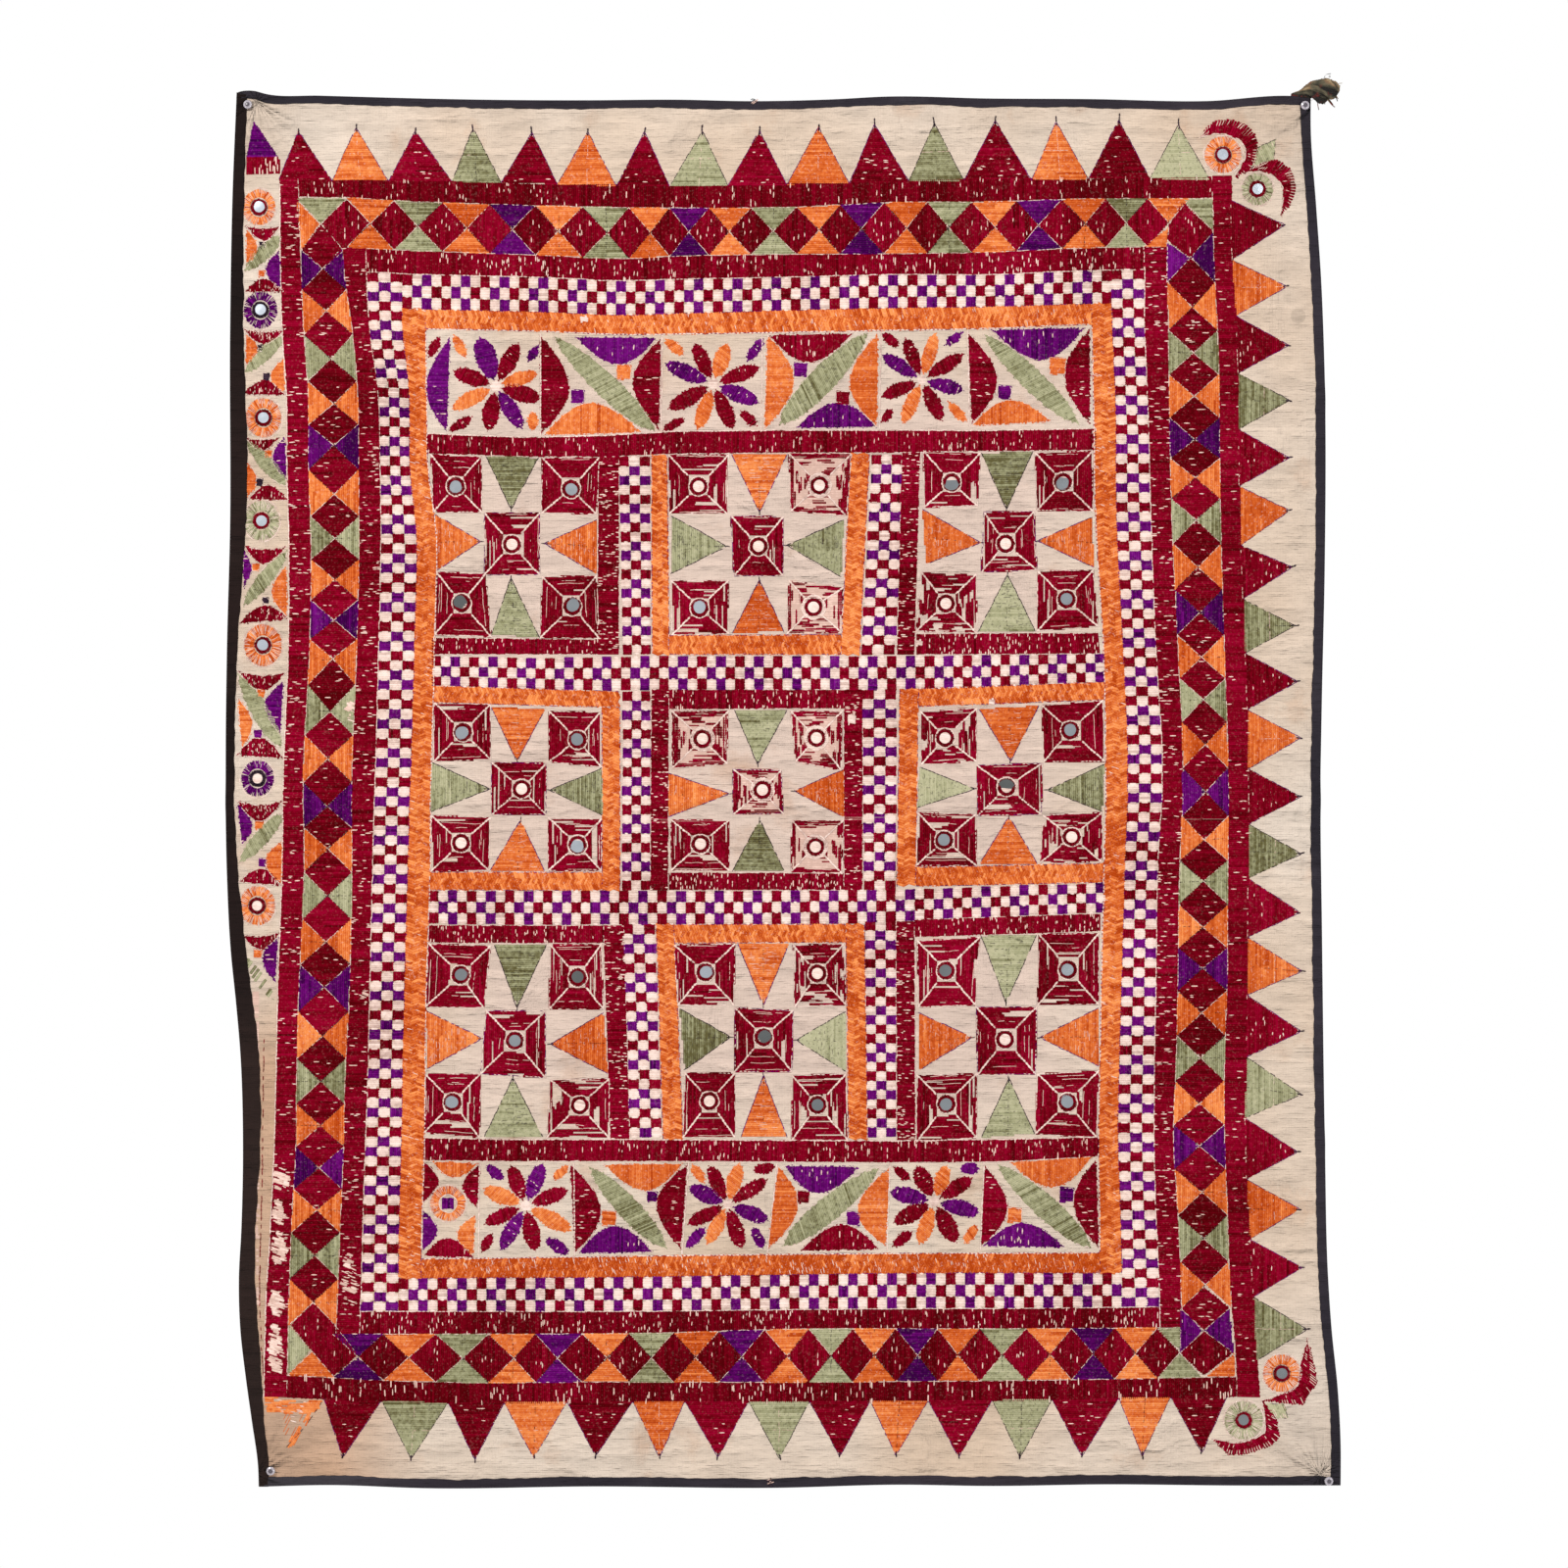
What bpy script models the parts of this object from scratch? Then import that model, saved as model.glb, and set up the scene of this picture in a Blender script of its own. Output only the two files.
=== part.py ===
"""A hand-embroidered cotton wall hanging, bound in dark strips and held by four push pins.

The hanging faces -Y, with +X to its right seen from the front and +Z up. The wall is the plane
y = 0, and the origin lies on it at the middle of the top edge. Sizes in the tables are
millimetres: across is measured from the middle, down from the top edge.
"""
import math

import bmesh
import bpy
import numpy as np

MM = 0.001
MERGE = 0.00001

# Driving sizes, in millimetres
WIDTH = 1220.0
LENGTH = 1554.0
CLOTH_THICK = 2.0
BINDING_THICK = 0.8
GAP = 0.4
FLAP_RIGHT = 11.0
FLAP_TOP = 9.5
FLAP_BOTTOM = 10.5
LEFT_STRIP = 22.5
EDGE_STRIP = 13.0
COLUMNS = 31
ROWS = 40
BULGE = 5.0
WALL_GAP = 0.3

MIRROR_THICK = 1.0
SQUARE_MIRROR = 18.0
BORDER_MIRROR = 14.0
MIRROR_SIDES = 16

PIN_HEAD = 10.0
PIN_HEAD_THICK = 4.0
NEEDLE = 1.2
NEEDLE_PAST_WALL = 7.0
NEEDLE_POINT = 2.0
PIN_HOLE = 2.2
PIN_HOLE_SIDES = 10
PIN_HOLE_CUT = 14.0
PIN_STEPS = 12
# The head's half outline from the needle to the crown, as shares of its radius and its thickness
PIN_HEAD_OUTLINE = ((0.55, 0.0), (0.86, 0.25), (1.0, 0.5), (0.9, 0.78), (0.55, 0.95), (0.0, 1.0))

# Least share of the width between two stations of a binding
STATION_GAP = 0.001
# Places of the closer rows over the middle fold, in its half widths, and how far other rows keep off
FOLD_ROWS = (-1.6, -0.8, 0.0, 0.8, 1.6)
FOLD_CLEAR = 2.6

INSET = BINDING_THICK + GAP
BINDING_LIFT = CLOTH_THICK / 2 + GAP + BINDING_THICK / 2
FRONT_OF_WALL = BINDING_LIFT + BINDING_THICK / 2 + WALL_GAP

# Outer edges, binding included: the two sides as (down, across), top and bottom as (across, height)
LEFT_EDGE = (
    (-10, -613), (90, -617), (260, -619.5), (470, -619.5), (613, -623.5), (720, -625), (866, -623.5),
    (951, -619), (1009, -613), (1067, -608), (1175, -605), (1262, -607), (1319, -610), (1376, -608.5),
    (1426, -603), (1477, -596), (1528, -589), (1560, -588),
)
RIGHT_EDGE = (
    (-5, 592), (31, 592), (118, 598), (203, 603.5), (290, 606.5), (527, 606.5), (671, 603.5),
    (777, 602), (923, 603.5), (1173, 607), (1319, 611), (1376, 615), (1449, 622.5), (1506, 625.5),
    (1560, 625.5),
)
TOP_EDGE = (
    (-614, 10), (-605, 12), (-594, 12), (-580, 8.5), (-520, 6.5), (-396, 3), (-219, 1), (-120, 1),
    (-35, -1), (57, 1), (114, 4), (232, 2), (349, 2), (475, 0.5), (576, 6), (592, 4.5),
)
BOTTOM_EDGE = (
    (-589, -1554), (-511, -1552), (-401, -1555), (-219, -1553), (-9, -1554), (127, -1550.5),
    (232, -1552), (361, -1550.5), (505, -1552.5), (625, -1552.5),
)
# How far the left binding reaches over the front: (down, width)
LEFT_FLAP = (
    (0, 12), (260, 15), (425, 19), (555, 14), (613, 12), (866, 12.5), (923, 16), (1009, 19),
    (1060, 20.5), (1175, 19), (1262, 16), (1319, 18), (1376, 20), (1449, 16), (1500, 13), (1560, 11),
)

# Soft ridges and troughs: the line each runs along, its half width, and its height off the cloth
FOLD_COLUMNS = ("across_a", "down_a", "across_b", "down_b", "half_width", "height")
FOLDS = {
    "left_ridge": (-478, 120, -445, 330, 30, 8.0),
    "left_ridge_low": (-452, 330, -436, 520, 26, 6.0),
    "red_band_ridge": (-400, 402, 330, 386, 26, 5.0),
    "middle_fold": (-600, 786, 585, 784, 15, 4.5),
    "middle_trough": (-560, 752, 560, 752, 20, -2.5),
    "fold_above": (-140, 742, 90, 750, 13, 3.0),
    "fold_below": (-130, 822, 110, 818, 13, 2.5),
    "top_left_pull": (-545, 36, -470, 66, 17, 3.5),
    "top_right_pull": (540, 48, 505, 96, 17, 3.5),
    "bottom_left_pull": (-530, 1495, -480, 1455, 17, 3.5),
    "bottom_right_pull": (575, 1500, 535, 1450, 17, 4.0),
    "right_pucker_high": (520, 322, 596, 332, 13, 3.0),
    "right_pucker_low": (525, 1160, 598, 1166, 13, 2.5),
    "lower_left_trough": (-560, 1090, -470, 1330, 32, -3.0),
    "lower_right_ridge": (430, 960, 470, 1260, 34, 4.5),
    "bottom_ridge": (-120, 1400, 200, 1430, 34, 4.0),
}
# Broad waves of the whole hanging: their lengths across and down, phase and height
WAVE_COLUMNS = ("length_across", "length_down", "phase", "height")
WAVES = (
    (760, 1900, 0.4, 2.6),
    (-1150, 820, 1.9, 2.2),
    (430, -1250, 3.1, 1.2),
)

# Needles of the four push pins: (across, down)
PINS = {
    "push_pin_top_left": (-600.0, 4.0),
    "push_pin_top_right": (585.2, 5.0),
    "push_pin_bottom_left": (-574.2, 1535.6),
    "push_pin_bottom_right": (611.8, 1547.0),
}
PIN_REACH = 230.0
PIN_FLAT = 45.0

# Mirror glass: the middles of the round pieces that are still in place, (across, down)
SQUARE_MIRRORS = (
    (-366.5, 432.0), (-237.5, 435.0), (-360.0, 563.0), (-236.0, 566.5), (-93.5, 568.5),
    (189.0, 427.5), (314.0, 427.0), (318.0, 558.5), (-358.5, 707.5), (-230.0, 716.0),
    (-230.0, 833.5), (322.0, 705.5), (250.5, 769.0), (180.5, 828.5), (-361.5, 979.5),
    (-230.0, 982.0), (-300.5, 1053.0), (-370.0, 1122.0), (-87.0, 976.5), (-22.0, 1049.5),
    (38.5, 1125.5), (182.5, 974.5), (319.0, 973.5), (183.0, 1124.0), (318.5, 1122.0),
)
BORDER_MIRRORS = (
    (-587.5, 119.0), (-585.5, 234.5), (-582.0, 355.5), (-584.5, 470.5), (-583.0, 610.0),
    (493.5, 60.0), (532.0, 98.5), (559.0, 1426.5), (516.5, 1479.0),
)

# The rag tied at the top right corner, from its thin end to its frayed head
RAG_COLUMNS = ("across", "height", "forward", "radius")
RAG = (
    (576.5, 9.0, 2.8, 1.2),
    (582.0, 11.6, 3.6, 4.0),
    (588.0, 14.8, 5.0, 7.4),
    (594.0, 15.2, 5.8, 8.8),
    (600.5, 12.2, 7.4, 12.0),
    (607.5, 11.4, 8.6, 13.8),
    (614.0, 10.6, 7.8, 11.5),
    (619.5, 11.4, 6.8, 8.0),
    (623.5, 12.8, 5.6, 3.5),
)
RAG_DEPTH_SHARE = 0.55
RAG_LOBES = 5
RAG_LOBE_DEPTH = 0.14


def table_rows(columns, rows):
    return [dict(zip(columns, row)) for row in rows]


def smooth_reading(table, at):
    """The table's second column at a place in its first, on one smooth curve through its rows."""
    xs, ys = np.array(table, float).T
    slopes = np.gradient(ys, xs)
    i = int(np.clip(np.searchsorted(xs, at) - 1, 0, len(xs) - 2))
    step = xs[i + 1] - xs[i]
    t = float(np.clip((at - xs[i]) / step, 0.0, 1.0))
    rise_a, rise_b = slopes[i] * step, slopes[i + 1] * step
    change = ys[i + 1] - ys[i]
    square = 3 * change - 2 * rise_a - rise_b
    cube = rise_a + rise_b - 2 * change
    return ys[i] + rise_a * t + square * t**2 + cube * t**3


def grid_shares(first, last, span, count):
    """Places from 0 to 1: a strip at each end, first and last wide, and even steps between them."""
    return np.concatenate(([0.0], np.linspace(first / span, 1 - last / span, count), [1.0]))


def fold_rise(fold, across, down):
    """Height of one fold at a place: a rounded ridge along its line, fading out at both ends."""
    run, fall = fold["across_b"] - fold["across_a"], fold["down_b"] - fold["down_a"]
    length = math.hypot(run, fall)
    along = ((across - fold["across_a"]) * run + (down - fold["down_a"]) * fall) / length
    aside = ((across - fold["across_a"]) * fall - (down - fold["down_a"]) * run) / length
    beyond = max(-along, along - length, 0.0)
    reach = 2.0 * fold["half_width"]
    return fold["height"] * math.exp(-((aside / fold["half_width"]) ** 2) - (beyond / reach) ** 2)


def height_off_wall(across, down):
    """How far the middle of the cloth stands off its flat position at a place."""
    near_pin = min(math.hypot(across - x, down - y) for x, y in PINS.values())
    freedom = 1.0 - math.exp(-((near_pin / PIN_REACH) ** 2))
    creased = 1.0 - math.exp(-((near_pin / PIN_FLAT) ** 2))
    bulge = BULGE
    for wave in table_rows(WAVE_COLUMNS, WAVES):
        turn = across / wave["length_across"] + down / wave["length_down"]
        bulge += wave["height"] * math.sin(2 * math.pi * turn + wave["phase"])
    folds = sum(fold_rise(fold, across, down) for fold in table_rows(FOLD_COLUMNS, FOLDS.values()))
    return max(freedom * bulge + creased * folds, 0.0)


class Sheet:
    """The cloth's middle surface: a grid of points between its four edges, set off by its folds."""

    def __init__(self):
        self.columns = grid_shares(LEFT_STRIP, EDGE_STRIP, WIDTH, COLUMNS)
        self.rows = self.with_middle_fold(grid_shares(EDGE_STRIP, EDGE_STRIP, LENGTH, ROWS))
        self.points = np.array([[self.place(u, v) for v in self.rows] for u in self.columns])

    def with_middle_fold(self, rows):
        """The rows, with closer ones over the sharp fold across the middle."""
        fold = dict(zip(FOLD_COLUMNS, FOLDS["middle_fold"]))
        middle, half = fold["down_a"] / LENGTH, fold["half_width"] / LENGTH
        near = np.array(FOLD_ROWS) * half + middle
        apart = [row for row in rows if abs(row - middle) > FOLD_CLEAR * half]
        return np.array(sorted([*apart, *near]))

    def place(self, u, v):
        """(across, height, stand-off) at a share u of the width and v of the length."""
        down = v * LENGTH
        left = smooth_reading(LEFT_EDGE, down) + INSET
        right = smooth_reading(RIGHT_EDGE, down) - INSET
        across = left + (right - left) * u
        top = smooth_reading(TOP_EDGE, across) - INSET
        bottom = smooth_reading(BOTTOM_EDGE, across) + INSET
        height = top + (bottom - top) * v
        return across, height, FRONT_OF_WALL + height_off_wall(across, -height)

    def cell(self, u, v):
        """The grid cell that holds a place, and the place's shares across and down that cell."""
        i = int(np.clip(np.searchsorted(self.columns, u) - 1, 0, len(self.columns) - 2))
        j = int(np.clip(np.searchsorted(self.rows, v) - 1, 0, len(self.rows) - 2))
        s = (u - self.columns[i]) / (self.columns[i + 1] - self.columns[i])
        t = (v - self.rows[j]) / (self.rows[j + 1] - self.rows[j])
        return i, j, s, t

    def between(self, u, v):
        """(across, height, stand-off) on the grid's own cells."""
        i, j, s, t = self.cell(u, v)
        p = self.points
        near = p[i, j] * (1 - s) + p[i + 1, j] * s
        far = p[i, j + 1] * (1 - s) + p[i + 1, j + 1] * s
        return near * (1 - t) + far * t

    def highest_at(self, across, down):
        """The highest stand-off that either way of halving a cell gives at a place in millimetres."""
        v = down / LENGTH
        for _ in range(4):
            left, right = self.between(0.0, v), self.between(1.0, v)
            u = (across - left[0]) / (right[0] - left[0])
            top, bottom = self.between(u, 0.0), self.between(u, 1.0)
            v = (top[1] + down) / (top[1] - bottom[1])
        i, j, s, t = self.cell(u, v)
        h = self.points[:, :, 2]
        twist = h[i, j] + h[i + 1, j + 1] - h[i, j + 1] - h[i + 1, j]
        one_way = twist * min(s * (1 - t), t * (1 - s))
        other_way = -twist * min(s * t, (1 - s) * (1 - t))
        return self.between(u, v)[2] + max(one_way, other_way)


def world(across, height, stand_off):
    return across * MM, -stand_off * MM, height * MM


def principled(name, colour, roughness, metallic=0.0):
    material = bpy.data.materials.new(name)
    material.use_nodes = True
    material.diffuse_color = (*colour, 1.0)
    shader = material.node_tree.nodes["Principled BSDF"]
    shader.inputs["Base Color"].default_value = (*colour, 1.0)
    shader.inputs["Roughness"].default_value = roughness
    shader.inputs["Metallic"].default_value = metallic
    return material


def add_object(name, mesh, material, collection):
    obj = bpy.data.objects.new(name, mesh)
    collection.objects.link(obj)
    mesh.materials.append(material)
    return obj


def grid_mesh(name, columns, rows, place):
    """A grid of columns by rows of points, each put where place(i, j) says."""
    mesh = bpy.data.meshes.new(name)
    bm = bmesh.new()
    bmesh.ops.create_grid(bm, x_segments=columns - 1, y_segments=rows - 1, size=0.5)
    for vert in bm.verts:
        i = round((vert.co.x + 0.5) * (columns - 1))
        j = round((0.5 - vert.co.y) * (rows - 1))
        vert.co = place(i, j)
    bm.to_mesh(mesh)
    bm.free()
    return mesh


def add_rod(bm, sides, radius, length):
    """A closed round rod about the mesh's own Z, its sizes in millimetres."""
    round_size = {"radius1": radius * MM, "radius2": radius * MM, "depth": length * MM}
    bmesh.ops.create_cone(bm, cap_ends=True, segments=sides, **round_size)


def thicken(obj, thickness):
    solid = obj.modifiers.new("Thickness", "SOLIDIFY")
    solid.thickness = thickness * MM
    solid.offset = 0.0
    solid.use_even_offset = True


def cut(obj, cutters):
    for cutter in cutters:
        hole = obj.modifiers.new(cutter.name, "BOOLEAN")
        hole.operation = "DIFFERENCE"
        hole.solver = "EXACT"
        hole.object = cutter


def build_cloth(sheet, material, collection):
    def place(i, j):
        return world(*sheet.points[i, j])

    mesh = grid_mesh("cloth", len(sheet.columns), len(sheet.rows), place)
    cloth = add_object("cloth", mesh, material, collection)
    thicken(cloth, CLOTH_THICK)
    return cloth


def binding_profile(flap):
    """The folded strip's section: how far in from the outer edge, and how far off the cloth."""
    outer = BINDING_THICK / 2
    return ((flap, -BINDING_LIFT), (outer, -BINDING_LIFT), (outer, BINDING_LIFT), (flap, BINDING_LIFT))


def build_side_binding(sheet, side, material, collection):
    """The strip folded round one side edge, its whole length."""
    left = side == "left"
    strip = LEFT_STRIP if left else EDGE_STRIP
    share = sheet.columns[1] if left else 1.0 - sheet.columns[-2]
    rows = sheet.rows.copy()
    rows[0] -= INSET / LENGTH
    rows[-1] += INSET / LENGTH

    def place(i, j):
        v = rows[j]
        down = v * LENGTH
        flap = smooth_reading(LEFT_FLAP, down) if left else FLAP_RIGHT
        inward, lift = binding_profile(flap)[i if not left else 3 - i]
        inside = (inward - INSET) / strip * share
        across, height, stand_off = sheet.between(inside if left else 1.0 - inside, v)
        return world(across, height, stand_off + lift)

    mesh = grid_mesh("binding_" + side, 4, len(rows), place)
    binding = add_object("binding_" + side, mesh, material, collection)
    thicken(binding, BINDING_THICK)
    return binding


def build_end_binding(sheet, end, material, collection):
    """The strip folded round the top or bottom edge, between the two side strips."""
    top = end == "top"
    v_edge = 0.0 if top else 1.0
    down = v_edge * LENGTH
    left_flap = smooth_reading(LEFT_FLAP, down) + GAP
    right_flap = FLAP_RIGHT + GAP
    width = sheet.between(1.0, v_edge)[0] - sheet.between(0.0, v_edge)[0]
    first, last = (left_flap - INSET) / width, 1.0 - (right_flap - INSET) / width
    stations = [first, *[u for u in sheet.columns if first + STATION_GAP < u < last - STATION_GAP], last]
    share = sheet.rows[1]

    def place(i, j):
        flap = FLAP_TOP if top else FLAP_BOTTOM
        inward, lift = binding_profile(flap)[j if top else 3 - j]
        inside = (inward - INSET) / EDGE_STRIP * share
        across, height, stand_off = sheet.between(stations[i], inside if top else 1.0 - inside)
        return world(across, height, stand_off + lift)

    mesh = grid_mesh("binding_" + end, len(stations), 4, place)
    binding = add_object("binding_" + end, mesh, material, collection)
    thicken(binding, BINDING_THICK)
    return binding


def build_mirror(name, sheet, across, down, diameter, material, collection):
    """A round of thin glass lying on the cloth, tilted as the cloth below it."""
    radius = diameter / 2
    rim = [math.tau * k / MIRROR_SIDES for k in range(MIRROR_SIDES)]
    slope_x = (sheet.highest_at(across + radius, down) - sheet.highest_at(across - radius, down)) / diameter
    slope_z = (sheet.highest_at(across, down - radius) - sheet.highest_at(across, down + radius)) / diameter
    highest = sheet.highest_at(across, down)
    for share in (0.5, 1.0):
        for turn in rim:
            dx, dz = share * radius * math.cos(turn), share * radius * math.sin(turn)
            below = sheet.highest_at(across + dx, down - dz)
            highest = max(highest, below - slope_x * dx - slope_z * dz)
    clear = highest + CLOTH_THICK / 2 + GAP + MIRROR_THICK / 2

    mesh = bpy.data.meshes.new(name)
    bm = bmesh.new()
    add_rod(bm, MIRROR_SIDES, radius, MIRROR_THICK)
    for vert in bm.verts:
        dx, dz, forward = vert.co.x / MM, vert.co.y / MM, vert.co.z / MM
        vert.co = world(across + dx, -down + dz, clear + slope_x * dx + slope_z * dz + forward)
    bm.to_mesh(mesh)
    bm.free()
    return add_object(name, mesh, material, collection)


def pin_profile():
    """Half outline of a push pin from the needle's tip to the crown, as (radius, forward)."""
    back = BINDING_LIFT + BINDING_THICK / 2 + GAP
    tip = -(FRONT_OF_WALL + NEEDLE_PAST_WALL)
    needle = [(0.0, tip), (NEEDLE / 2, tip + NEEDLE_POINT), (NEEDLE / 2, back)]
    head = [(out * PIN_HEAD / 2, back + up * PIN_HEAD_THICK) for out, up in PIN_HEAD_OUTLINE]
    return needle + head


def build_pin(name, sheet, across, down, material, collection):
    """A push pin: a rounded head turned in one piece with its needle."""
    mesh = bpy.data.meshes.new(name)
    bm = bmesh.new()
    verts = [bm.verts.new((radius * MM, 0.0, forward * MM)) for radius, forward in reversed(pin_profile())]
    for a, b in zip(verts, verts[1:]):
        bm.edges.new((a, b))
    bm.to_mesh(mesh)
    bm.free()
    pin = add_object(name, mesh, material, collection)
    turn = pin.modifiers.new("Turned", "SCREW")
    turn.axis = "Z"
    turn.steps = turn.render_steps = PIN_STEPS
    turn.use_merge_vertices = True
    turn.merge_threshold = MERGE
    pin.location = world(across, -down, sheet.highest_at(across, down))
    pin.rotation_euler = (math.pi / 2, 0.0, 0.0)
    return pin


def pin_hole_cutter(name, sheet, across, down, collection):
    """A thin rod that clears the needle's hole through the cloth and its binding."""
    mesh = bpy.data.meshes.new(name)
    bm = bmesh.new()
    add_rod(bm, PIN_HOLE_SIDES, PIN_HOLE / 2, PIN_HOLE_CUT)
    bm.to_mesh(mesh)
    bm.free()
    cutter = bpy.data.objects.new(name, mesh)
    collection.objects.link(cutter)
    cutter.location = world(across, -down, sheet.highest_at(across, down))
    cutter.rotation_euler = (math.pi / 2, 0.0, 0.0)
    cutter.hide_render = True
    cutter.display_type = "WIRE"
    return cutter


def build_rag(material, collection):
    """The twist of rag at the corner: a lumpy tube whose lobes turn along it."""
    rows = table_rows(RAG_COLUMNS, RAG)
    curve = bpy.data.curves.new("corner_rag", "CURVE")
    curve.dimensions = "3D"
    curve.bevel_depth = MM
    curve.bevel_resolution = 3
    curve.resolution_u = 2
    curve.use_fill_caps = True
    spline = curve.splines.new("NURBS")
    spline.points.add(len(rows) - 1)
    spline.use_endpoint_u = True
    spline.order_u = 3
    for point, row in zip(spline.points, rows):
        point.co = (*world(row["across"], row["height"], row["forward"]), 1.0)
        point.radius = row["radius"]
    guide = bpy.data.objects.new("rag_guide", curve)
    collection.objects.link(guide)
    evaluated = guide.evaluated_get(bpy.context.evaluated_depsgraph_get())
    mesh = bpy.data.meshes.new_from_object(evaluated)
    mesh.name = "corner_rag"
    bpy.data.objects.remove(guide)

    centres = np.array([world(row["across"], row["height"], row["forward"]) for row in rows])
    bm = bmesh.new()
    bm.from_mesh(mesh)
    bmesh.ops.remove_doubles(bm, verts=bm.verts, dist=MERGE)
    for vert in bm.verts:
        along = float(np.interp(vert.co.x, centres[:, 0], np.arange(len(centres))))
        middle = np.array([np.interp(along, np.arange(len(centres)), centres[:, k]) for k in range(3)])
        aside = vert.co.y - middle[1], vert.co.z - middle[2]
        angle = math.atan2(aside[1], aside[0])
        swell = 1.0 + RAG_LOBE_DEPTH * math.sin(RAG_LOBES * angle + 1.3 * along)
        vert.co.y = middle[1] + aside[0] * swell * RAG_DEPTH_SHARE
        vert.co.z = middle[2] + aside[1] * swell
    bm.to_mesh(mesh)
    bm.free()
    return add_object("corner_rag", mesh, material, collection)


def main():
    for obj in list(bpy.data.objects):
        bpy.data.objects.remove(obj)
    parts = bpy.data.collections.new("wall_hanging")
    cutters = bpy.data.collections.new("cutters")
    bpy.context.scene.collection.children.link(parts)
    bpy.context.scene.collection.children.link(cutters)

    cotton = principled("embroidered_cotton", (0.62, 0.42, 0.30), 0.9)
    dark_cotton = principled("dark_binding_cotton", (0.016, 0.018, 0.026), 0.85)
    glass = principled("mirror_glass", (0.72, 0.76, 0.78), 0.08, 1.0)
    clear = principled("clear_pin_plastic", (0.80, 0.78, 0.78), 0.2)
    rag = principled("faded_rag_cotton", (0.16, 0.11, 0.07), 0.95)

    sheet = Sheet()
    cloth = build_cloth(sheet, cotton, parts)
    bindings = {side: build_side_binding(sheet, side, dark_cotton, parts) for side in ("left", "right")}
    bindings |= {end: build_end_binding(sheet, end, dark_cotton, parts) for end in ("top", "bottom")}

    holes = {}
    for name, (across, down) in PINS.items():
        build_pin(name, sheet, across, down, clear, parts)
        holes[name] = pin_hole_cutter(name + "_hole", sheet, across, down, cutters)
    cut(cloth, holes.values())
    cut(bindings["right"], [holes["push_pin_top_right"]])
    cut(bindings["bottom"], [holes["push_pin_bottom_right"]])

    for number, (across, down) in enumerate(SQUARE_MIRRORS, 1):
        build_mirror(f"mirror_square_{number:02d}", sheet, across, down, SQUARE_MIRROR, glass, parts)
    for number, (across, down) in enumerate(BORDER_MIRRORS, 1):
        build_mirror(f"mirror_border_{number}", sheet, across, down, BORDER_MIRROR, glass, parts)
    build_rag(rag, parts)


main()
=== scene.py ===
"""A hand-embroidered cotton wall hanging with small mirrors, built on its packed CAD frame.

Sizes are millimetres unless a comment says otherwise: across is measured from the middle of the hanging, down from
its top edge. Layout places are counted in steps of 1.1 mm to the right of and below one shared corner, and place()
and corner_places() turn them into millimetres. The embroidery is tens of thousands of raised stitches, gathered in
a Work and made into one mesh for each part of the design.
"""
import math

import bpy
import numpy as np
from bpy.props import FloatProperty, FloatVectorProperty, PointerProperty
from bpy.types import Operator, Panel, PropertyGroup
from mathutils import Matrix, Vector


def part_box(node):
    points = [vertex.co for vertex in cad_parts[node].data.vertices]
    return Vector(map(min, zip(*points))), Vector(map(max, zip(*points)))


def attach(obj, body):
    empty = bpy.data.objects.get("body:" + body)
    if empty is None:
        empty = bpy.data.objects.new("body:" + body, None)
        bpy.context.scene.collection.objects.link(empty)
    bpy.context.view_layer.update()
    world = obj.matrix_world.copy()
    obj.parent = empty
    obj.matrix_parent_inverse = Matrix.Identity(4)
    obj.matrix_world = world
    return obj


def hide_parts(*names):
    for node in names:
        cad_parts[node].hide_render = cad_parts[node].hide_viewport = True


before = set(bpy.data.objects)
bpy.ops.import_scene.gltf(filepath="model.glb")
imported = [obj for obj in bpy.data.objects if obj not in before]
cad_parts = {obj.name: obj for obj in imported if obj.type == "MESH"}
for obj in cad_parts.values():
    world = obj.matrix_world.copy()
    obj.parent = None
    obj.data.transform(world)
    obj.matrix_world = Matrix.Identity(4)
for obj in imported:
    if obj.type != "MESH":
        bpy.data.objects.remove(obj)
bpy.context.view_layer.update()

bl_info = {
    "name": "Embroidered wall hanging",
    "version": (1, 0, 0),
    "blender": (4, 5, 0),
    "location": "3D View > Sidebar > Hanging",
    "description": "Builds a mirror-work wall hanging, its bindings, rag and push pins",
    "category": "Object",
}

MM = 0.001
# Millimetres in a layout step, and where the middle and the top edge of the hanging are in steps
STEP = 1.1
LAYOUT_MIDDLE, LAYOUT_TOP = 799.0, 104.0
LENGTH = 1554.0
SEED = 71

# How far the sheet ends inside the outer edges, how far off the wall it is held, how far it bellies out from there
# between its pins, and half its thickness
INSET = 1.2
FRONT_OF_WALL = 2.5
BULGE = 5.0
GROUND_HALF = 0.7
# How far a stitch of a fill stands off the cloth's middle surface at its sides, and how much higher its ridge is
FILL_LIFT = 0.75
THREAD_RISE = 0.55

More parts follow.
